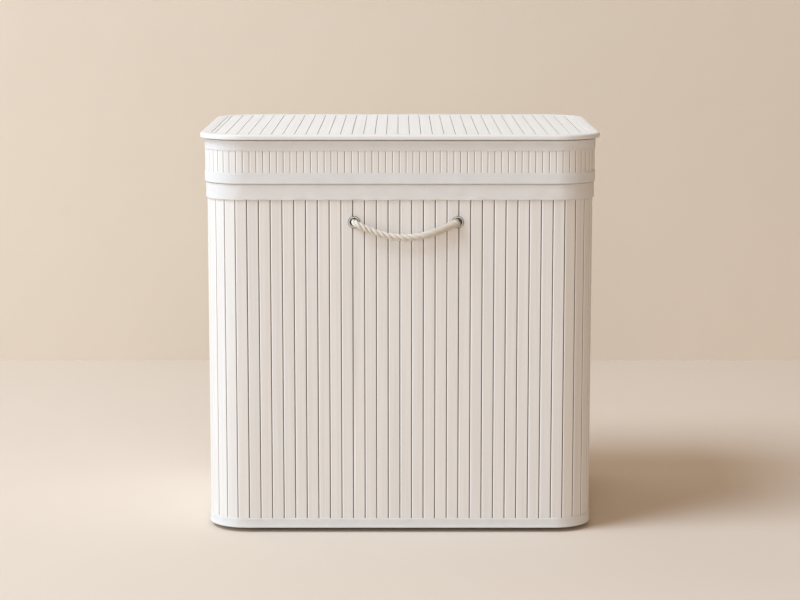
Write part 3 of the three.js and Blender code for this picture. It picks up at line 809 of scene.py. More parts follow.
# %% Steps of a tree that lays copies
class Layer(Tree):
    """A Geometry Nodes tree that sets copies of a shape along a path. given holds its inputs."""

    def __init__(self, name, inputs):
        group = bpy.data.node_groups.new(name, "GeometryNodeTree")
        super().__init__(group)
        for kind, labels in {"Geometry": ["Geometry"], **inputs}.items():
            for label in labels:
                kind_name = f"NodeSocket{kind}"
                group.interface.new_socket(label, in_out="INPUT", socket_type=kind_name)
        group.interface.new_socket("Geometry", in_out="OUTPUT", socket_type="NodeSocketGeometry")
        node = group.nodes.new("NodeGroupInput")
        self.given = {socket.name: Wire(self, socket) for socket in node.outputs if socket.name}
        self.path = self.make("MeshToCurve", Mesh=self.given["Geometry"])

    def make(self, kind, settings=None, **sockets):
        """A geometry node. Where the name of a socket has a space, its keyword has a low line."""
        values = {name.replace("_", " "): value for name, value in sockets.items()}
        return self.add(f"GeometryNode{kind}", settings, values)

    def store(self, shape, domain, name, value):
        """Keeps a number on each face, point or copy, for the finish to read."""
        settings = {"data_type": "FLOAT", "domain": domain}
        return self.make("StoreNamedAttribute", settings, Geometry=shape, Name=name, Value=value)

    def chance(self, kind, values, output=0):
        seeded = {**values, "Seed": values.get("Seed", self.given["Seed"])}
        return self.add("FunctionNodeRandomValue", {"data_type": kind}, seeded, output)

    def sweep(self, line, section):
        return self.make("CurveToMesh", Curve=line, Profile_Curve=section, Fill_Caps=True)

    def set_out(self, points, tangent, shape):
        """A copy on each point, turned to the path."""
        settings = {"axis": "X", "pivot_axis": "Z"}
        facing = self.add("FunctionNodeAlignRotationToVector", settings, {"Vector": tangent})
        return self.make("InstanceOnPoints", Points=points, Instance=shape, Rotation=facing)

    def shift(self, copies, drift):
        values = {"Instances": copies, "Translation": drift, "Local Space": True}
        return self.add("GeometryNodeTranslateInstances", None, values)

    def close(self, copies, material):
        real = self.make("RealizeInstances", Geometry=copies)
        painted = self.make("SetMaterial", Geometry=real, Material=material)
        self.add("NodeGroupOutput", None, {"Geometry": painted})
        return self.tree


# %% The slat tree
HIGHLIGHT_REACH = 2.4 * MM  # from the edge of a slat to where its painted highlight has faded


def slat_tree():
    sizes = ["Start", "Width", "Thickness", "Bottom", "Length", "Edge Round", "Unevenness"]
    tree = Layer("slat_mat", {"Int": ["Slats", "Seed"], "Float": sizes, "Material": ["Paint"]})
    given, make = tree.given, tree.make
    width, thickness, uneven = given["Width"], given["Thickness"], given["Unevenness"]

    pitch = make("CurveLength", Curve=tree.path) / given["Slats"]
    distance = given["Start"] + (make("InputIndex") + 0.5) * pitch
    sampling = {"mode": "LENGTH", "use_all_curves": True}
    values = {"Curves": tree.path, "Length": distance}
    place = tree.add("GeometryNodeSampleCurve", sampling, values, "Position")
    points = make("Points", Count=given["Slats"])
    placed = make("SetPosition", Geometry=points, Position=place)

    face = make("CurvePrimitiveQuadrilateral", Width=width, Height=thickness)
    rounding = {"Curve": face, "Count": 3, "Radius": given["Edge Round"]}
    section = make("FilletCurve", {"mode": "POLY"}, **rounding)
    low = tree.vector(0.0, 0.0, given["Bottom"])
    high = tree.vector(0.0, 0.0, given["Bottom"] + given["Length"])
    slat = tree.sweep(make("CurvePrimitiveLine", Start=low, End=high), section)
    sideways, _, _ = tree.parts(make("InputNormal"))
    # Painted shade: the side face that faces back along the path is painted nearly black.
    slat = tree.store(slat, "FACE", "seam_shade", (sideways * -1.0).smooth(0.85, 0.95))
    # Painted highlight: a pale strip on the face, fading over this reach from its edge.
    across, _, _ = tree.parts(make("InputPosition"))
    highlight_share = 1 - (across + width * 0.5) / HIGHLIGHT_REACH
    slat = tree.store(slat, "POINT", "edge_highlight", highlight_share)
    seated = make("Transform", Geometry=slat, Translation=tree.vector(0.0, thickness * 0.5, 0.0))

    mat = tree.set_out(placed, tree.other(place, "Tangent"), seated)
    lean = tree.chance("FLOAT_VECTOR", {"Min": (-1, -1, -1), "Max": (1, 1, 1)})
    lean_x, lean_y, lean_z = tree.parts(lean)
    yaw = tree.vector(0.0, 0.0, lean_z * uneven * 14.0)
    mat = make("RotateInstances", Instances=mat, Rotation=yaw)
    mat = tree.shift(mat, tree.vector(lean_x * uneven * 1.4, lean_y * uneven * 0.5, 0.0))
    tone = tree.chance("FLOAT", {2: 0.0, 3: 1.0, "Seed": given["Seed"] + 7}, 1)
    return tree.close(tree.store(mat, "INSTANCE", "slat_tone", tone), given["Paint"])


slat_mat = slat_tree()
print("slat tree has", len(slat_mat.nodes), "nodes")

# %% Growing a tree on a path
def settle(obj):
    """Turns an object with modifiers into a plain mesh."""
    graph = bpy.context.evaluated_depsgraph_get()
    graph.update()
    made = bpy.data.meshes.new_from_object(
        obj.evaluated_get(graph), preserve_all_data_layers=True, depsgraph=graph
    )
    obj.modifiers.clear()
    obj.data = made
    made.name = obj.name
    return obj


def grow(name, tree, start, inputs):
    """Runs a node tree on a starting mesh and keeps what it makes as a plain mesh."""
    obj = bpy.data.objects.new(name, start)
    scene.collection.objects.link(obj)
    modifier = obj.modifiers.new("grow", "NODES")
    modifier.node_group = tree
    for item in tree.interface.items_tree:
        if item.item_type == "SOCKET" and item.in_out == "INPUT" and item.name in inputs:
            modifier[item.identifier] = inputs[item.name]
    return settle(obj)


def slat(thickness, bottom, top, edge_round, unevenness, paint=upright_bamboo):
    """What a mat's slats have in common."""
    return {
        "Thickness": thickness,
        "Bottom": bottom,
        "Length": top - bottom,
        "Edge Round": edge_round,
        "Unevenness": unevenness,
        "Paint": paint,
    }


# %% Cutting
def carve(obj, operation, tools):
    """Cuts an object with closed tools and removes them."""
    for tool in tools:
        modifier = obj.modifiers.new("carve", "BOOLEAN")
        modifier.operation, modifier.solver, modifier.object = operation, "EXACT", tool
    settle(obj)
    for tool in tools:
        bpy.data.objects.remove(tool)


# %% Paths and bands round the hamper
def path_mesh(name, points):
    mesh = bpy.data.meshes.new(name)
    edges = [(i, i + 1) for i in range(len(points) - 1)]
    mesh.from_pydata([tuple(p) for p in points], edges, [])
    return mesh


def outline_path(name, inset, height=0.0):
    """An open line that goes once round the hamper and ends where it starts."""
    point, out = around(np.append(stations(0.03, 0.0008), GIRTH))
    return path_mesh(name, [(x, y, height) for x, y in point - out * inset])


def band(name, section, rings, closed=True, ripple=None, crease=40):
    """A band round the hamper, whose section is listed as (inset, height), up the outside and down
    the inside. ripple gives how far each point moves outwards and upwards."""
    inset, height = np.array(section).T
    point, out = around(rings)
    s, n = len(rings), len(section)
    push, lift = np.zeros((s, n)), np.zeros((s, n))
    if ripple is not None:
        push, lift = ripple(rings[:, None], inset[None, :], height[None, :])
    plan = point[:, None, :] - out[:, None, :] * (inset[None, :, None] - push[:, :, None])
    up = height[None, :, None] + lift[:, :, None]
    points = np.concatenate([plan, np.broadcast_to(up, (s, n, 1))], 2).reshape(-1, 3)
    u = np.append(rings, rings[0] + GIRTH)
    faces, uvs = lay_grid(s, n, u, lengths_along(section, closed), True, closed)
    return make_piece(name, points, faces, uvs, crease)


def ply(name, outer, inner, bottom, top):
    """A flat cloth round the hamper, which slats are glued to."""
    section = [(outer, bottom), (outer, top), (inner, top), (inner, bottom)]
    cloth = band(name, section, stations(0.03, 0.004))
    cloth.data.materials.append(scrim)
    return cloth


# %% [markdown]
# ### Wall slats
#
# The slats stand shoulder to shoulder with a gap of 1.2 mm, through which the cloth that they are
# glued to can just be seen. The mat is drilled for the four eyelets once it is glued. Each hole
# runs over the edge of a slat, and those in front take a piece out of two. The holes could be
# planned into each slat, but a Boolean cuts them as the drill does, wherever the edges lie.

# %% Wall slats and their cloth
SLAT_THICKNESS = 3.8 * MM
SLAT_GAP = 1.2 * MM
WALL_SLATS = 109
GLUE_CLOTH = 0.6 * MM
DRILL_REACH = 20 * MM


def bore(obj):
    """Cuts the four eyelet holes."""
    ends = (-DRILL_REACH, DRILL_REACH)
    profile = [(0.0, ends[0]), (BARREL_RADIUS, ends[0]), (BARREL_RADIUS, ends[1]), (0.0, ends[1])]
    bits = []
    for facing in (-1, 1):
        for side in (-1, 1):
            x = -facing * (HANDLE_MIDDLE + side * HANDLE_SPAN / 2)
            place = (x, facing * HALF_DEPTH, HANDLE_HEIGHT)
            bits.append(lathe("drill", profile, place, (0, facing, 0), 32))
    carve(obj, "DIFFERENCE", bits)


wall_width = GIRTH / WALL_SLATS - SLAT_GAP
wall_slat = slat(SLAT_THICKNESS, SLAT_BOTTOM, SLAT_TOP, 1.0 * MM, 0.025 * MM)
wall_sizes = {**wall_slat, "Slats": WALL_SLATS, "Width": wall_width, "Seed": 4}
wall_slats = grow("bamboo_wall", slat_mat, outline_path("wall_path", 0.0), wall_sizes)
bore(wall_slats)
wall_slats.data.shade_flat()
take_place(wall_slats, "hamper_body", "bamboo", "wall_slats")

cloth_face, cloth_back = SLAT_THICKNESS + 0.1 * MM, SLAT_THICKNESS + GLUE_CLOTH
glue_cloth = ply("glue_cloth", cloth_face, cloth_back, SLAT_BOTTOM, WALL_TOP)
bore(glue_cloth)
take_place(glue_cloth, "hamper_body", "trim_canvas", "wall_slats")
print("wall:", len(wall_slats.data.polygons), "faces")

# %% [markdown]
# ### Skirt slats
#
# The lid's skirt is the same mat with narrow slats, so the same tree makes it from other sizes. It
# ends a little below the lid, which leaves the fine dark line under the rim.

# %% Skirt slats
SKIRT_FACE = -3.05 * MM
SKIRT_BACK = -1.05 * MM
SKIRT_SLAT_THICKNESS = 1.3 * MM
SKIRT_SLATS = 191
SKIRT_GAP = 0.8 * MM
SKIRT_SHIFT = -1.0 * MM
SHADOW_GAP = 3.1 * MM  # between the mat and the underside of the lid
MAT_BOTTOM = SKIRT_BOTTOM + 0.7 * MM
MAT_TOP = SKIRT_TOP - SHADOW_GAP

skirt_width = (GIRTH - 2 * math.pi * SKIRT_FACE) / SKIRT_SLATS - SKIRT_GAP
skirt_slat = slat(SKIRT_SLAT_THICKNESS, MAT_BOTTOM, MAT_TOP, 0.5 * MM, 0.02 * MM)
skirt_sizes = {**skirt_slat, "Slats": SKIRT_SLATS, "Width": skirt_width, "Seed": 11}
skirt_sizes["Start"] = SKIRT_SHIFT
skirt_slats = grow("bamboo_skirt", slat_mat, outline_path("skirt_path", SKIRT_FACE), skirt_sizes)
skirt_slats.data.shade_flat()
take_place(skirt_slats, "lid", "bamboo", "skirt_slats")

cloth_face = SKIRT_FACE + SKIRT_SLAT_THICKNESS
skirt_cloth = ply("skirt_glue_cloth", cloth_face, SKIRT_BACK, MAT_BOTTOM, MAT_TOP)
take_place(skirt_cloth, "lid", "trim_canvas", "skirt_slats")
print("skirt:", len(skirt_slats.data.polygons), "faces")

# %% [markdown]
# ### Lid slats
#
# On the lid the slats lie flat and run from front to back. They are laid upright along a straight
# path, tipped over, and then trimmed to the rounded field inside the rim, as a maker trims a
# glued mat.

# %% Lid slats
LID_SLATS = 34
LID_PITCH = 17.21 * MM
LID_SEAM_SHIFT = -3 * MM
LID_GAP = 0.6 * MM
LID_SLAT_THICKNESS = 3.4 * MM
LID_SLAT_TOP = 607.4 * MM
FIELD_INSET = 8.4 * MM
FIELD_REACH = 20 * MM


def prism(name, inset, bottom, top):
    """A solid with the rounded plan of the body."""
    point, out = around(stations(0.05, 0.0015))
    plan = point - out * inset
    count = len(plan)
    points = [(x, y, z) for z in (bottom, top) for x, y in plan]
    faces = [tuple(reversed(range(count))), tuple(range(count, 2 * count))]
    for i in range(count):
        k = (i + 1) % count
        faces.append((i, k, count + k, count + i))
    return make_piece(name, points, faces)


lid_start = LID_SEAM_SHIFT - LID_SLATS / 2 * LID_PITCH
lid_path = path_mesh("lid_path", [(lid_start, 0, 0), (lid_start + LID_SLATS * LID_PITCH, 0, 0)])
lid_slat = slat(LID_SLAT_THICKNESS, -HALF_DEPTH, HALF_DEPTH, 0.45 * MM, 0.03 * MM, lid_bamboo)
lid_sizes = {**lid_slat, "Slats": LID_SLATS, "Width": LID_PITCH - LID_GAP, "Seed": 23}
lid_slats = grow("bamboo_lid", slat_mat, lid_path, lid_sizes)
tipped = Matrix.Rotation(-QUARTER_TURN, 4, "X")
lid_slats.data.transform(Matrix.Translation((0, 0, LID_SLAT_TOP)) @ tipped)
field = prism("field", FIELD_INSET, LID_SLAT_TOP - FIELD_REACH, LID_SLAT_TOP + FIELD_REACH)
carve(lid_slats, "INTERSECT", [field])
lid_slats.data.shade_flat()
take_place(lid_slats, "lid", "bamboo", "lid_slats")
print("lid field:", len(lid_slats.data.polygons), "faces")

# %% [markdown]
# ## The rim
#
# A painted moulding runs round the lid: a bead outside, round above and square below, and a flat
# lip over the ends of the slats inside. A bevelled curve could make it, but the same band as for
# the cloths keeps its inset and its level exact: one section swept round the outline.

# %% Rim
RIM_OUTER = -10.2 * MM
RIM_INNER = 7.5 * MM
BEAD_BOTTOM = RIM_BOTTOM - 1.7 * MM
BEAD_ROUND = 3.3 * MM
EDGE = 0.7 * MM  # radius of the small roundings
LIP_BOTTOM = LID_SLAT_TOP - LID_SLAT_THICKNESS
RIM_TONE = 0.55

rim_section = [
    (0.4 * MM, RIM_BOTTOM),
    (-5.6 * MM, RIM_BOTTOM),
    (-5.7 * MM, BEAD_BOTTOM + 0.2 * MM),
    *arc(RIM_OUTER + EDGE, BEAD_BOTTOM + EDGE, EDGE, EDGE, -0.5, -1.0, 6),
    *arc(RIM_OUTER + BEAD_ROUND, RIM_TOP - BEAD_ROUND, BEAD_ROUND, BEAD_ROUND, 1.0, 0.5, 10),
    *arc(RIM_INNER - EDGE, RIM_TOP - EDGE, EDGE, EDGE, 0.5, 0.0, 5),
    (RIM_INNER, LIP_BOTTOM),
    (0.4 * MM, LIP_BOTTOM),
]
rim = band("lid_rim_moulding", rim_section, stations(0.02, 0.0016), crease=50)
mark(rim, "slat_tone", np.full(len(rim.data.vertices), RIM_TONE))
# The rim has no painted seam shade.
mark(rim, "seam_shade", domain="FACE")
take_place(rim, "lid", "bamboo", "lid_rim", finish=rim_paint)
print("rim:", len(rim.data.polygons), "faces")

# %% [markdown]
# ## Cloth strips
#
# The hem, the skirt's two bands and the cuff are strips of cloth folded over an edge. A cloth
# simulation could settle them, but they are sewn and glued tight all the way round, so there is
# little for it to find. Each is drawn as the line down the middle of the cloth, given its
# thickness on both sides, and swept round. What makes it cloth is the ripple: a sum of slow waves
# that go a whole number of times round the hamper, so that the strip still meets itself.

# %% Strips from a middle line
def cloth_section(middle, thickness, step, ease):
    """A closed section either side of a middle line, whose left hand is the outside. All its sizes
    are in millimetres."""
    line = [np.array(p, float) * MM for p in middle]
    eased = [line[0]]
    for before, corner, after in zip(line, line[1:], line[2:]):
        before, after = before - corner, after - corner
        lengths = np.linalg.norm(before), np.linalg.norm(after)
        reach = min(ease * MM, 0.45 * lengths[0], 0.45 * lengths[1])
        start, end = corner + before / lengths[0] * reach, corner + after / lengths[1] * reach
        for t in np.linspace(0, 1, 6):
            eased.append((1 - t) ** 2 * start + 2 * t * (1 - t) * corner + t * t * end)
    eased.append(line[-1])
    dense = [eased[0]]
    for a, b in zip(eased, eased[1:]):
        count = max(1, math.ceil(np.linalg.norm(b - a) / (step * MM)))
        dense.extend(a + (b - a) * k / count for k in range(1, count + 1))
    dense = np.array(dense)
    along = np.gradient(dense, axis=0)
    along /= np.linalg.norm(along, axis=1)[:, None]
    left = np.stack([-along[:, 1], along[:, 0]], 1) * thickness * MM / 2
    outer, inner = dense + left, dense - left
    tip = thickness * MM * 0.3
    first, last = dense[0] - along[0] * tip, dense[-1] + along[-1] * tip
    section = [*outer, last + left[-1] * 0.5, last - left[-1] * 0.5]
    section += [*inner[::-1], first - left[0] * 0.5, first + left[0] * 0.5]
    return [tuple(p) for p in section]


WAVES_SUMMED, WAVE_GAIN = 14, 2.2


def waves(distance, height, turns, seed, tall):
    """A sum of slow waves from -1 to 1 over the walk and the height, which closes on itself."""
    dice = np.random.default_rng(seed)
    total = np.zeros(np.broadcast(distance, height).shape)
    weight = 0.0
    for _ in range(WAVES_SUMMED):
        count = int(dice.integers(turns[0], turns[1]))
        phase, slant = dice.uniform(0, 2 * math.pi), dice.normal(0, 1)
        strength = dice.uniform(0.4, 1.0)
        angle = 2 * math.pi * count * distance / GIRTH + slant * height / tall + phase
        total += strength * np.cos(angle)
        weight += strength
    return total / weight * WAVE_GAIN


def strip(name, section, ripple, finish, body, slot, node, rings=(0.006, 0.002)):
    """A rippled strip round the hamper, which takes the place of a packed one."""
    cloth = band(name, section, stations(*rings), ripple=ripple)
    take_place(cloth, body, slot, node, finish=finish)
    print(name, len(cloth.data.polygons), "faces")
    return cloth


# %% Hem round the foot
def hem_ripple(distance, inset, height):
    face, top = ramp(inset, 0.5 * MM, -0.5 * MM), ramp(height, 16.8 * MM, 21.8 * MM)
    push = face * 0.18 * MM * waves(distance, height, (20, 90), 5, 0.006)
    return push, top * 0.16 * MM * waves(distance, 0, (8, 70), 6, 1)


hem_line = [(27, 7.25), (-1.5, 7.25), (-1.5, 8.9), (-0.75, 11.2), (-0.75, 21.7)]
hem_section = cloth_section(hem_line, 0.9, 1.8, 1.2)
hem_facts = (canvas, "hamper_body", "trim_canvas", "bottom_hem")
hem = strip("foot_hem", hem_section, hem_ripple, *hem_facts)


# %% Bands of the skirt
def lower_band_ripple(distance, inset, height):
    face = ramp(inset, -2 * MM, -3 * MM)
    top = face * ramp(height, SKIRT_BOTTOM + 11 * MM, SKIRT_BOTTOM + 16 * MM)
    push = face * 0.16 * MM * waves(distance, height, (20, 100), 8, 0.008)
    return push, top * 0.15 * MM * waves(distance, 0, (10, 80), 9, 1)


def upper_band_ripple(distance, inset, height):
    low = ramp(height, SKIRT_TOP, SKIRT_TOP - 18 * MM)
    push = low * 0.18 * MM * waves(distance, height, (20, 100), 12, 0.01)
    return push, low**3 * 0.14 * MM * waves(distance, 0, (10, 80), 13, 1)


low, high = SKIRT_BOTTOM / MM, SKIRT_TOP / MM
lower_line = [(0.9, low + 13.5), (0.9, low + 0.2), (-3.9, low + 0.2), (-3.6, low + 16.5)]
upper_line = [(-3.55, high - 18.4), (-3.55, high - 9.5), (-3.7, high - SHADOW_GAP / MM)]
lower_section = cloth_section(lower_line, 0.4, 1.6, 0.8)
upper_section = cloth_section(upper_line, 0.4, 1.6, 3)
band_facts = (canvas, "lid", "trim_canvas")
lower_band = strip(
    "skirt_band_lower", lower_section, lower_band_ripple, *band_facts, "skirt_lower_band"
)
upper_band = strip(
    "skirt_band_upper", upper_section, upper_band_ripple, *band_facts, "skirt_upper_band"
)

# %% [markdown]
# ### The cuff
#
# The liner folds over the top of the wall and hangs down outside as a loose cuff. It is softer
# than the trim: shallow hollows all along it, and a free lower edge that wanders up and down by
# half a millimetre and stands off the slats here and there.

# %% Cuff
CREASES = [  # of single folds: place along the walk, level, width, height, slant and depth, in mm
    (233, 520, 5, 1.7, -0.2, -0.7),
    (223, 521, 9, 3.0, 0.15, 0.45),
    (203, 521, 9, 4.5, 0.3, 0.35),
    (96, 516, 22, 3.5, 0.1, -0.4),
    (262, 519, 9, 5.0, 0.5, 0.4),
]


def cuff_ripple(distance, inset, height):
    outside, low = ramp(inset, 1.2 * MM, 0), ramp(height, SHOULDER, CUFF_EDGE)
    hollows = waves(distance, height, (25, 75), 21, 0.009)
    edge = waves(distance, 0, (6, 60), 22, 1)
    push = outside * MM * (0.42 * hollows * low**0.6 + 0.2 * (1 + edge) * low**2)
    for where, level, width, tall, slant, deep in CREASES:
        past = distance / MM - where
        up = (height / MM - level - slant * past) / tall
        push = push + outside * deep * MM * np.exp(-((past / width) ** 2) - up**2)
    lift = outside * low**2 * MM * (0.22 * edge + 0.1 * waves(distance, 0, (50, 140), 23, 1))
    inside = ramp(inset, 6 * MM, 8 * MM) * ramp(height, CUFF_TOP, CUFF_TOP - 50 * MM)
    return push - inside * 0.25 * MM * waves(distance, height, (30, 80), 24, 0.02), lift


shoulder, top = SHOULDER / MM - 0.75, CUFF_TOP / MM - 0.75
cuff_line = [(-1.5, CUFF_EDGE / MM + 0.3), (-1.3, shoulder), (2.75, shoulder), (2.75, top)]
cuff_line += [(9.05, top), (9.05, CUFF_INNER_EDGE / MM + 0.4)]
cuff_section = cloth_section(cuff_line, 1.4, 2.0, 1.5)
cuff_facts = (liner, "hamper_body", "liner_cotton", "liner_cuff", (0.005, 0.0025))
cuff = strip("liner_cuff_cloth", cuff_section, cuff_ripple, *cuff_facts)

# %% [markdown]
# ## The two bags
#
# Each bag is a shell of liner cotton that hangs from the top of the wall and rests on the base
# board. It could be draped by a simulation too. It is lofted from rings instead, because a loft
# is sure to stay clear of the knots and the wall: straight where it is sewn, drawn in below, with
# upright folds in the slack part and a soft turn at the floor.

# %% Bags
BAG_TOP = 548.8 * MM
BAG_SEWN = 502.8 * MM  # the bag is straight above this level
BAG_FLOOR = 13.6 * MM
BAG_FOOT = 42.8 * MM  # where the bag turns in to its floor
BAG_TURN = 30 * MM
BAG_INSET = 10.2 * MM
BAG_DRAWN = 19.6 * MM
BAG_CLOTH = 0.9 * MM
DIVIDER_HALF = 0.65 * MM
DIVIDER_TURN = 9.5 * MM
BAG_COLUMNS = 260
FOLD_DEPTH, DRAG_DEPTH, PLEAT_DEPTH, FLOOR_BUMP = 8.5 * MM, 5 * MM, 2.4 * MM, 2.2 * MM


def bag_ring(side, inset):
    """A ring of the bag seen from above and its outward directions, evenly spaced."""
    wall_turn = CORNER_RADIUS - inset
    wall_x = HALF_WIDTH - BAG_INSET - wall_turn
    divider_x = DIVIDER_HALF + DIVIDER_TURN
    wall_y, divider_y = HALF_DEPTH - inset - wall_turn, HALF_DEPTH - inset - DIVIDER_TURN
    corners = [
        (wall_x, -wall_y, wall_turn, -1),
        (wall_x, wall_y, wall_turn, 0),
        (divider_x, divider_y, DIVIDER_TURN, 1),
        (divider_x, -divider_y, DIVIDER_TURN, 2),
    ]
    ways, points = [], []
    for x, y, radius, quarter in corners:
        turned = arc(0, 0, 1, 1, quarter / 2, (quarter + 1) / 2, 13)
        ways.extend(turned)
        points.extend((x + radius * cos, y + radius * sin) for cos, sin in turned)
    points, ways = np.array(points + points[:1]), np.array(ways + ways[:1])
    gone = lengths_along(points, False)
    at = np.linspace(0, gone[-1], BAG_COLUMNS, endpoint=False)
    ring = np.stack([np.interp(at, gone, points[:, k]) for k in (0, 1)], 1)
    way = np.stack([np.interp(at, gone, ways[:, k]) for k in (0, 1)], 1)
    way /= np.linalg.norm(way, axis=1)[:, None]
    return ring * [side, 1], way * [side, 1], at


def at_height(plan, z):
    return np.column_stack([plan, np.broadcast_to(z, len(plan))])


def bag_rings(side, seed):
    """The rings of a bag from its top to the middle of its floor, and the walk round it."""
    heights = [BAG_TOP - drop * MM for drop in (0, 4, 12, 24)]
    rings = []
    for z in [*heights, *np.linspace(BAG_SEWN, BAG_FOOT, 34)]:
        drawn = soft(ramp(z, BAG_SEWN + 2 * MM, BAG_SEWN - 20 * MM))
        ring, way, at = bag_ring(side, BAG_INSET + (BAG_DRAWN - BAG_INSET) * drawn)
        slack = ramp(z, BAG_TOP - 0.02, BAG_TOP - 0.2) * np.clip(z / 0.09, 0.25, 1)
        share = at / at[-1] * GIRTH
        sway, swing = 0.02 * math.sin(z * 9 + seed), 0.03 * math.sin(z * 13 + seed)
        fold = 0.5 + 0.5 * waves(share + sway, z, (7, 30), seed, 0.25)
        drag = 0.5 + 0.5 * waves(share, z, (2, 9), seed + 1, 0.12)
        pleat = waves(share + swing, z, (26, 58), seed + 2, 0.12)
        inwards = FOLD_DEPTH * np.clip(fold, 0, 1.2) ** 1.8 + DRAG_DEPTH * np.clip(drag, 0, 1.2)
        inwards = slack * (inwards + PLEAT_DEPTH * np.clip(pleat, 0, 1) ** 1.4)
        rings.append(at_height(ring - way * inwards[:, None], z))
    centre = np.array([side * HALF_WIDTH / 2, 0.0])
    away = rings[-1][:, :2] - centre
    reach = np.linalg.norm(away, axis=1)
    for angle in np.linspace(0.1, 0.5, 6) * math.pi:
        gap = BAG_TURN * (1 - math.cos(angle))
        plan = centre + away * ((reach - gap) / reach)[:, None]
        rings.append(at_height(plan, BAG_FLOOR + (BAG_FOOT - BAG_FLOOR) * (1 - math.sin(angle))))
    last = rings[-1][:, :2] - centre
    for share in (0.82, 0.62, 0.42, 0.22, 0.06):
        plan = centre + last * share
        bump = np.abs(np.sin(plan[:, 0] * 41 + seed) * np.sin(plan[:, 1] * 33 + 1))
        rings.append(at_height(plan, BAG_FLOOR + FLOOR_BUMP * bump))
    return rings, at


def bag(name, side, seed):
    rings, at = bag_rings(side, seed)
    steps = [float(np.median(np.linalg.norm(b - a, axis=1))) for a, b in zip(rings, rings[1:])]
    v = np.concatenate([[0.0], np.cumsum(steps)])
    u = np.append(at, at[-1] + at[1])
    rows, columns = len(rings), BAG_COLUMNS
    faces, uvs = lay_grid(columns, rows, u, v, True, False)
    faces = [tuple((p % rows) * columns + p // rows for p in face) for face in faces]
    if side > 0:
        faces = [face[::-1] for face in faces]
        uvs = [uvs[4 * k + c] for k in range(len(faces)) for c in (3, 2, 1, 0)]
    faces.append(tuple((rows - 1) * columns + k for k in range(columns))[::side])
    uvs.extend([(0, v[-1])] * columns)
    obj = make_piece(name, np.concatenate(rings), faces, uvs, 60)
    cloth = obj.modifiers.new("cloth", "SOLIDIFY")
    cloth.thickness, cloth.offset = BAG_CLOTH, -1
    return settle(obj)


for name, side, seed in (("left", -1, 31), ("right", 1, 37)):
    sack = bag(f"liner_bag_{name}", side, seed)
    take_place(sack, "hamper_body", "liner_cotton", f"{name}_bag", finish=liner)
    print(sack.name, len(sack.data.polygons), "faces")

# %% [markdown]
# ## Hinge tape and divider binding
#
# The lid turns on a strip of tape sewn across the back, to the cuff below and to the skirt's band
# above.
#
# The two bags share one top edge across the middle, bound with a folded strip of canvas that
# wanders a little on its way.

# %% A straight strip
def straight_strip(name, section, length, columns, place):
    """A strip of one section along a straight line. place gives where a point of the section is."""
    along = np.linspace(-length / 2, length / 2, columns)
    points = [place(at, first, second) for at in along for first, second in section]
    v, count = lengths_along(section, True), len(section)
    faces, uvs = lay_grid(columns, count, along, v, False, True)
    for ring in (0, columns - 1):
        faces.append([ring * count + k for k in range(count)])
        uvs.extend([(along[ring], v[k]) for k in range(count)])
    return mend_normals(make_piece(name, points, faces, uvs, 50))


# %% Hinge tape
HINGE_LENGTH = 400 * MM
HINGE_FOOT = 513.6
HINGE_HEAD = 549.2
HINGE_BEND = 1.4 * MM  # to each side of the axis
hinge = next(joint for joint in frame["joints"] if joint["name"] == "lid_hinge")
_, hinge_y, hinge_z = hinge["pos_m"]


def hinge_place(x, inset, z):
    ripple = 0.08 * MM * noise.noise(Vector((x * 55, 3.1, 0.4)))
    return x, HALF_DEPTH - inset + ripple, z


bends = [(-2.4, SHOULDER / MM - 1.2), (-4.35, SKIRT_BOTTOM / MM + 1.2)]
hinge_line = [(-2.4, HINGE_FOOT), *bends, (-4.35, HINGE_HEAD)]
hinge_section = cloth_section(hinge_line, 0.5, 1.4, 0.9)
tape = straight_strip("hinge_tape", hinge_section, HINGE_LENGTH, 161, hinge_place)
tape.data.materials.append(canvas)
bend_start, bend_end = ((0, hinge_y, hinge_z + away) for away in (-HINGE_BEND, HINGE_BEND))
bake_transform(tape)
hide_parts("hinge_tape_lower", "hinge_tape_upper")
print("hinge tape:", len(tape.data.polygons), "faces about z", round(hinge_z, 4))

# %% Divider binding
BINDING_LENGTH = 387.8 * MM
BINDING_FOOT = 533.7
BINDING_HEAD = 549.7


def binding_place(y, x, z):
    wander = 0.12 * MM * noise.noise(Vector((y * 28, 7.7, 1.3)))
    return x + wander, y, z + wander * (BINDING_HEAD - z / MM) / (BINDING_HEAD - BINDING_FOOT)


head = BINDING_HEAD - 0.3
binding_line = [(-2.4, BINDING_FOOT), (-2.4, head), (2.4, head), (2.4, BINDING_FOOT)]
binding_section = cloth_section(binding_line, 0.6, 1.5, 1.6)
binding_sizes = (binding_section, BINDING_LENGTH, 131)
binding = straight_strip("divider_binding_tape", *binding_sizes, binding_place)
take_place(binding, "hamper_body", "trim_canvas", "divider_binding", finish=canvas)
print("binding:", len(binding.data.polygons), "faces")

# %% [markdown]
# ## Lid lining
#
# Under the lid board lies a sheet of the liner cotton, glued flat, whose edge follows the inside
# of the rim.

# %% Lid lining
LINING_INSET, LINING_BOTTOM, LINING_TOP = 0.7 * MM, 598.6 * MM, 599.4 * MM
lid_lining = prism("lid_lining_cloth", LINING_INSET, LINING_BOTTOM, LINING_TOP)
lining = lid_lining.data
corner = np.array([lining.vertices[loop.vertex_index].co[:2] for loop in lining.loops])
lining.uv_layers.new(name="UVMap").uv.foreach_set("vector", corner.astype(np.float32).ravel())
lining.set_sharp_from_angle(angle=math.radians(40))
take_place(lid_lining, "lid", "liner_cotton", "lid_lining", finish=liner)
print("lid lining:", len(lining.polygons), "faces")

# %% [markdown]
# ## Glides
#
# Four turned discs keep the hem clear of the floor. Each has a flat sole, a little hollow in the
# middle and rounded at its edge. The lathe of the eyelets makes them from half their outline.

# %% Glides
GLIDE_RADIUS = 13 * MM
GLIDE_HEIGHT = 7.7 * MM
GLIDE_INSET = 62 * MM
SOLE_ROUND, SOLE_RISE = 1.4 * MM, 1.1 * MM  # how far the rounding goes in, and up


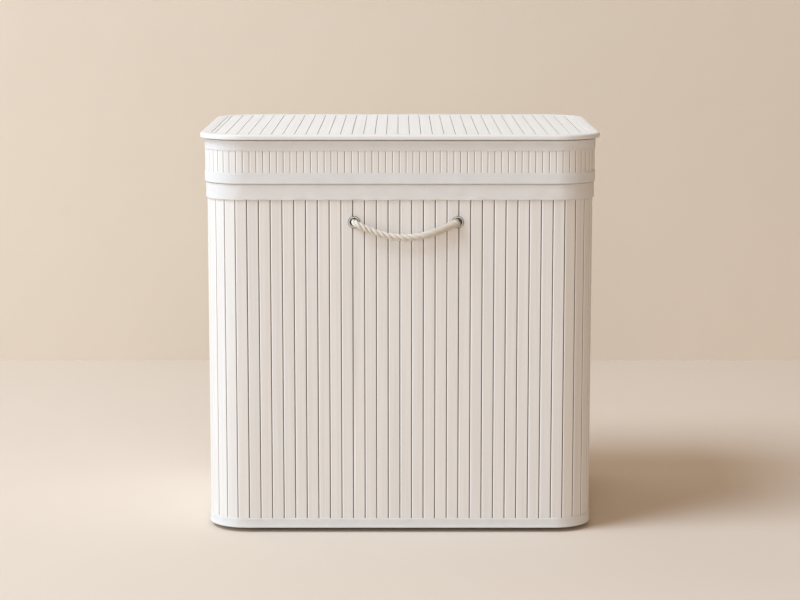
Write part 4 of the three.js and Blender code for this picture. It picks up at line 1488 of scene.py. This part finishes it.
def moulded(name, colour, roughness):
    look = Finish(name, colour, roughness)
    grain = look.speckle(look.object_place(), 1600)
    patches = look.speckle(look.object_place(), 60, 3.0)
    plastic = look.mix(patches.smooth(0.35, 0.7), darker(colour, 0.14), colour)
    return look.done(plastic, grain, 0.00004, Roughness=roughness + patches * 0.15)


glide_plastic = moulded("glide_plastic", (0.55, 0.53, 0.49), 0.42)
sole_end = 1.5 / math.pi - 0.5
glide_profile = [
    (0.0, 0.25 * MM),
    (3 * MM, 0.25 * MM),
    (4 * MM, 0.0),
    *arc(GLIDE_RADIUS - SOLE_ROUND, SOLE_RISE, SOLE_ROUND, SOLE_RISE, -0.5, sole_end, 7),
    (GLIDE_RADIUS, GLIDE_HEIGHT - 1 * MM),
    (GLIDE_RADIUS - 0.9 * MM, GLIDE_HEIGHT),
    (0.0, GLIDE_HEIGHT),
]
for face, facing in (("front", -1), ("rear", 1)):
    for hand in ("left", "right"):
        side = math.copysign(1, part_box(f"glide_{face}_{hand}")[0][0])
        place = (side * (HALF_WIDTH - GLIDE_INSET), facing * (HALF_DEPTH - GLIDE_INSET), 0)
        glide = lathe(f"glide_disc_{face}_{hand}", glide_profile, place, (0, 0, 1))
        facts = ("hamper_body", "glide_plastic", f"glide_{face}_{hand}")
        take_place(glide, *facts, finish=glide_plastic)
print("four glides,", len(glide.data.polygons), "faces each")

# %% [markdown]
# ## Stitches
#
# A row of machine stitches runs along the free edge of each band. A stitch is a short fat thread
# that dives into the cloth at both ends. They could be drawn as a bump in the cloth, but from near
# by a seam stands proud. One tree sets them along a path at an even pitch. The 2,500 of them stay
# cheap because one has only a few dozen faces.

# %% The stitch tree
LEAN = (0.12 * MM, 0, 0.1 * MM)


def stitch_tree():
    sizes = ["Pitch", "Length", "Thread", "Sink", "Slant"]
    tree = Layer("stitch_row", {"Float": sizes, "Int": ["Seed"], "Material": ["Cotton"]})
    given, make = tree.given, tree.make
    half, sink, slant = given["Length"] * 0.5, given["Sink"], given["Slant"]
    row = make("CurveToPoints", {"mode": "LENGTH"}, Curve=tree.path, Length=given["Pitch"])
    arch = make(
        "CurvePrimitiveBezierSegment",
        {"mode": "POSITION"},
        Resolution=5,
        Start=tree.vector(half * -1.0, sink, 0.0),
        Start_Handle=tree.vector(half * -0.55, sink * -0.7, slant * -0.6),
        End_Handle=tree.vector(half * 0.55, sink * -0.7, slant * 0.6),
        End=tree.vector(half, sink, 0.0),
    )
    circle = {"Resolution": 5, "Radius": given["Thread"]}
    stitch = tree.sweep(arch, make("CurvePrimitiveCircle", {"mode": "RADIUS"}, **circle))
    smooth = make("SetShadeSmooth", Geometry=stitch)
    seam = tree.set_out(row, tree.other(row, "Tangent"), smooth)
    lean = tree.chance("FLOAT_VECTOR", {"Min": tuple(-x for x in LEAN), "Max": LEAN})
    return tree.close(tree.shift(seam, lean), given["Cotton"])


stitch_row = stitch_tree()
print("stitch tree has", len(stitch_row.nodes), "nodes")

# %% Rows of stitches
STITCH = {
    "Pitch": 2.3 * MM,
    "Length": 1.75 * MM,
    "Thread": 0.24 * MM,
    "Sink": 0.22 * MM,
    "Slant": 0.12 * MM,
    "Cotton": thread_cotton,
}


def stitches(name, inset, height, body, seed):
    path = outline_path(f"{name}_path", inset, height)
    row = grow(name, stitch_row, path, {**STITCH, "Seed": seed})
    row.data.shade_smooth()
    return take_place(row, body, "trim_canvas")


BAND_FACE, HEM_FACE = -3.8 * MM, -1.25 * MM
LOWER_ROW, UPPER_ROW, HEM_ROW = SKIRT_BOTTOM + 13.4 * MM, SKIRT_TOP - 16.4 * MM, 19.8 * MM
lower_seam = stitches("stitches_lower_band", BAND_FACE, LOWER_ROW, "lid", 3)
upper_seam = stitches("stitches_upper_band", BAND_FACE, UPPER_ROW, "lid", 4)
hem_seam = stitches("stitches_hem", HEM_FACE, HEM_ROW, "hamper_body", 5)
print("stitches:", [len(o.data.polygons) for o in (lower_seam, upper_seam, hem_seam)], "faces")

# %% [markdown]
# ## What stays as packed
#
# The stiff parts inside keep their CAD shape and get a real finish: grey board for the lining and
# the skirt's frame, spring steel for the hoop, hardboard for the base and the lid, nickel for the
# washers.

# %% Boards
def pressed_board(name, colour, roughness, fibre):
    look = Finish(name, colour, roughness)
    grain = look.speckle(look.object_place(), fibre, 6.0, 0.7)
    flecks = look.speckle(look.object_place(240, 1100, 420), 1.0)
    clouds = look.speckle(look.object_place(), 14, 3.0)
    shade = grain * 0.4 + flecks * 0.35 + clouds * 0.25
    pulp = look.mix(shade.smooth(0.36, 0.62), darker(colour, 0.28), darker(colour, -0.1))
    dull = roughness - 0.08 + flecks * 0.16
    return look.done(pulp, grain * 0.6 + flecks * 0.4, 0.00012, Roughness=dull)


card = pressed_board("lining_card", (0.6, 0.575, 0.53), 0.88, 420)
hardboard = pressed_board("hardboard", (0.36, 0.26, 0.17), 0.74, 300)
faces, hands = ("front", "rear"), ("left", "right")
washers = [f"eyelet_washer_{face}_{hand}" for face in faces for hand in hands]
kept = {
    "wall_lining": card,
    "skirt_frame": card,
    "top_hoop": hoop_steel,
    "base_board": hardboard,
    "lid_board": hardboard,
    **dict.fromkeys(washers, eyelet_metal),
}
for node, material in kept.items():
    frame["nodes"][node].material_slots[0].material = material
print(len(kept), "packed pieces got a finish")

# %% [markdown]
# ## The cloth pieces
#
# All of them are made by now.

print("all the cloth pieces are made")

# %% Close the scene
low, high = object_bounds()
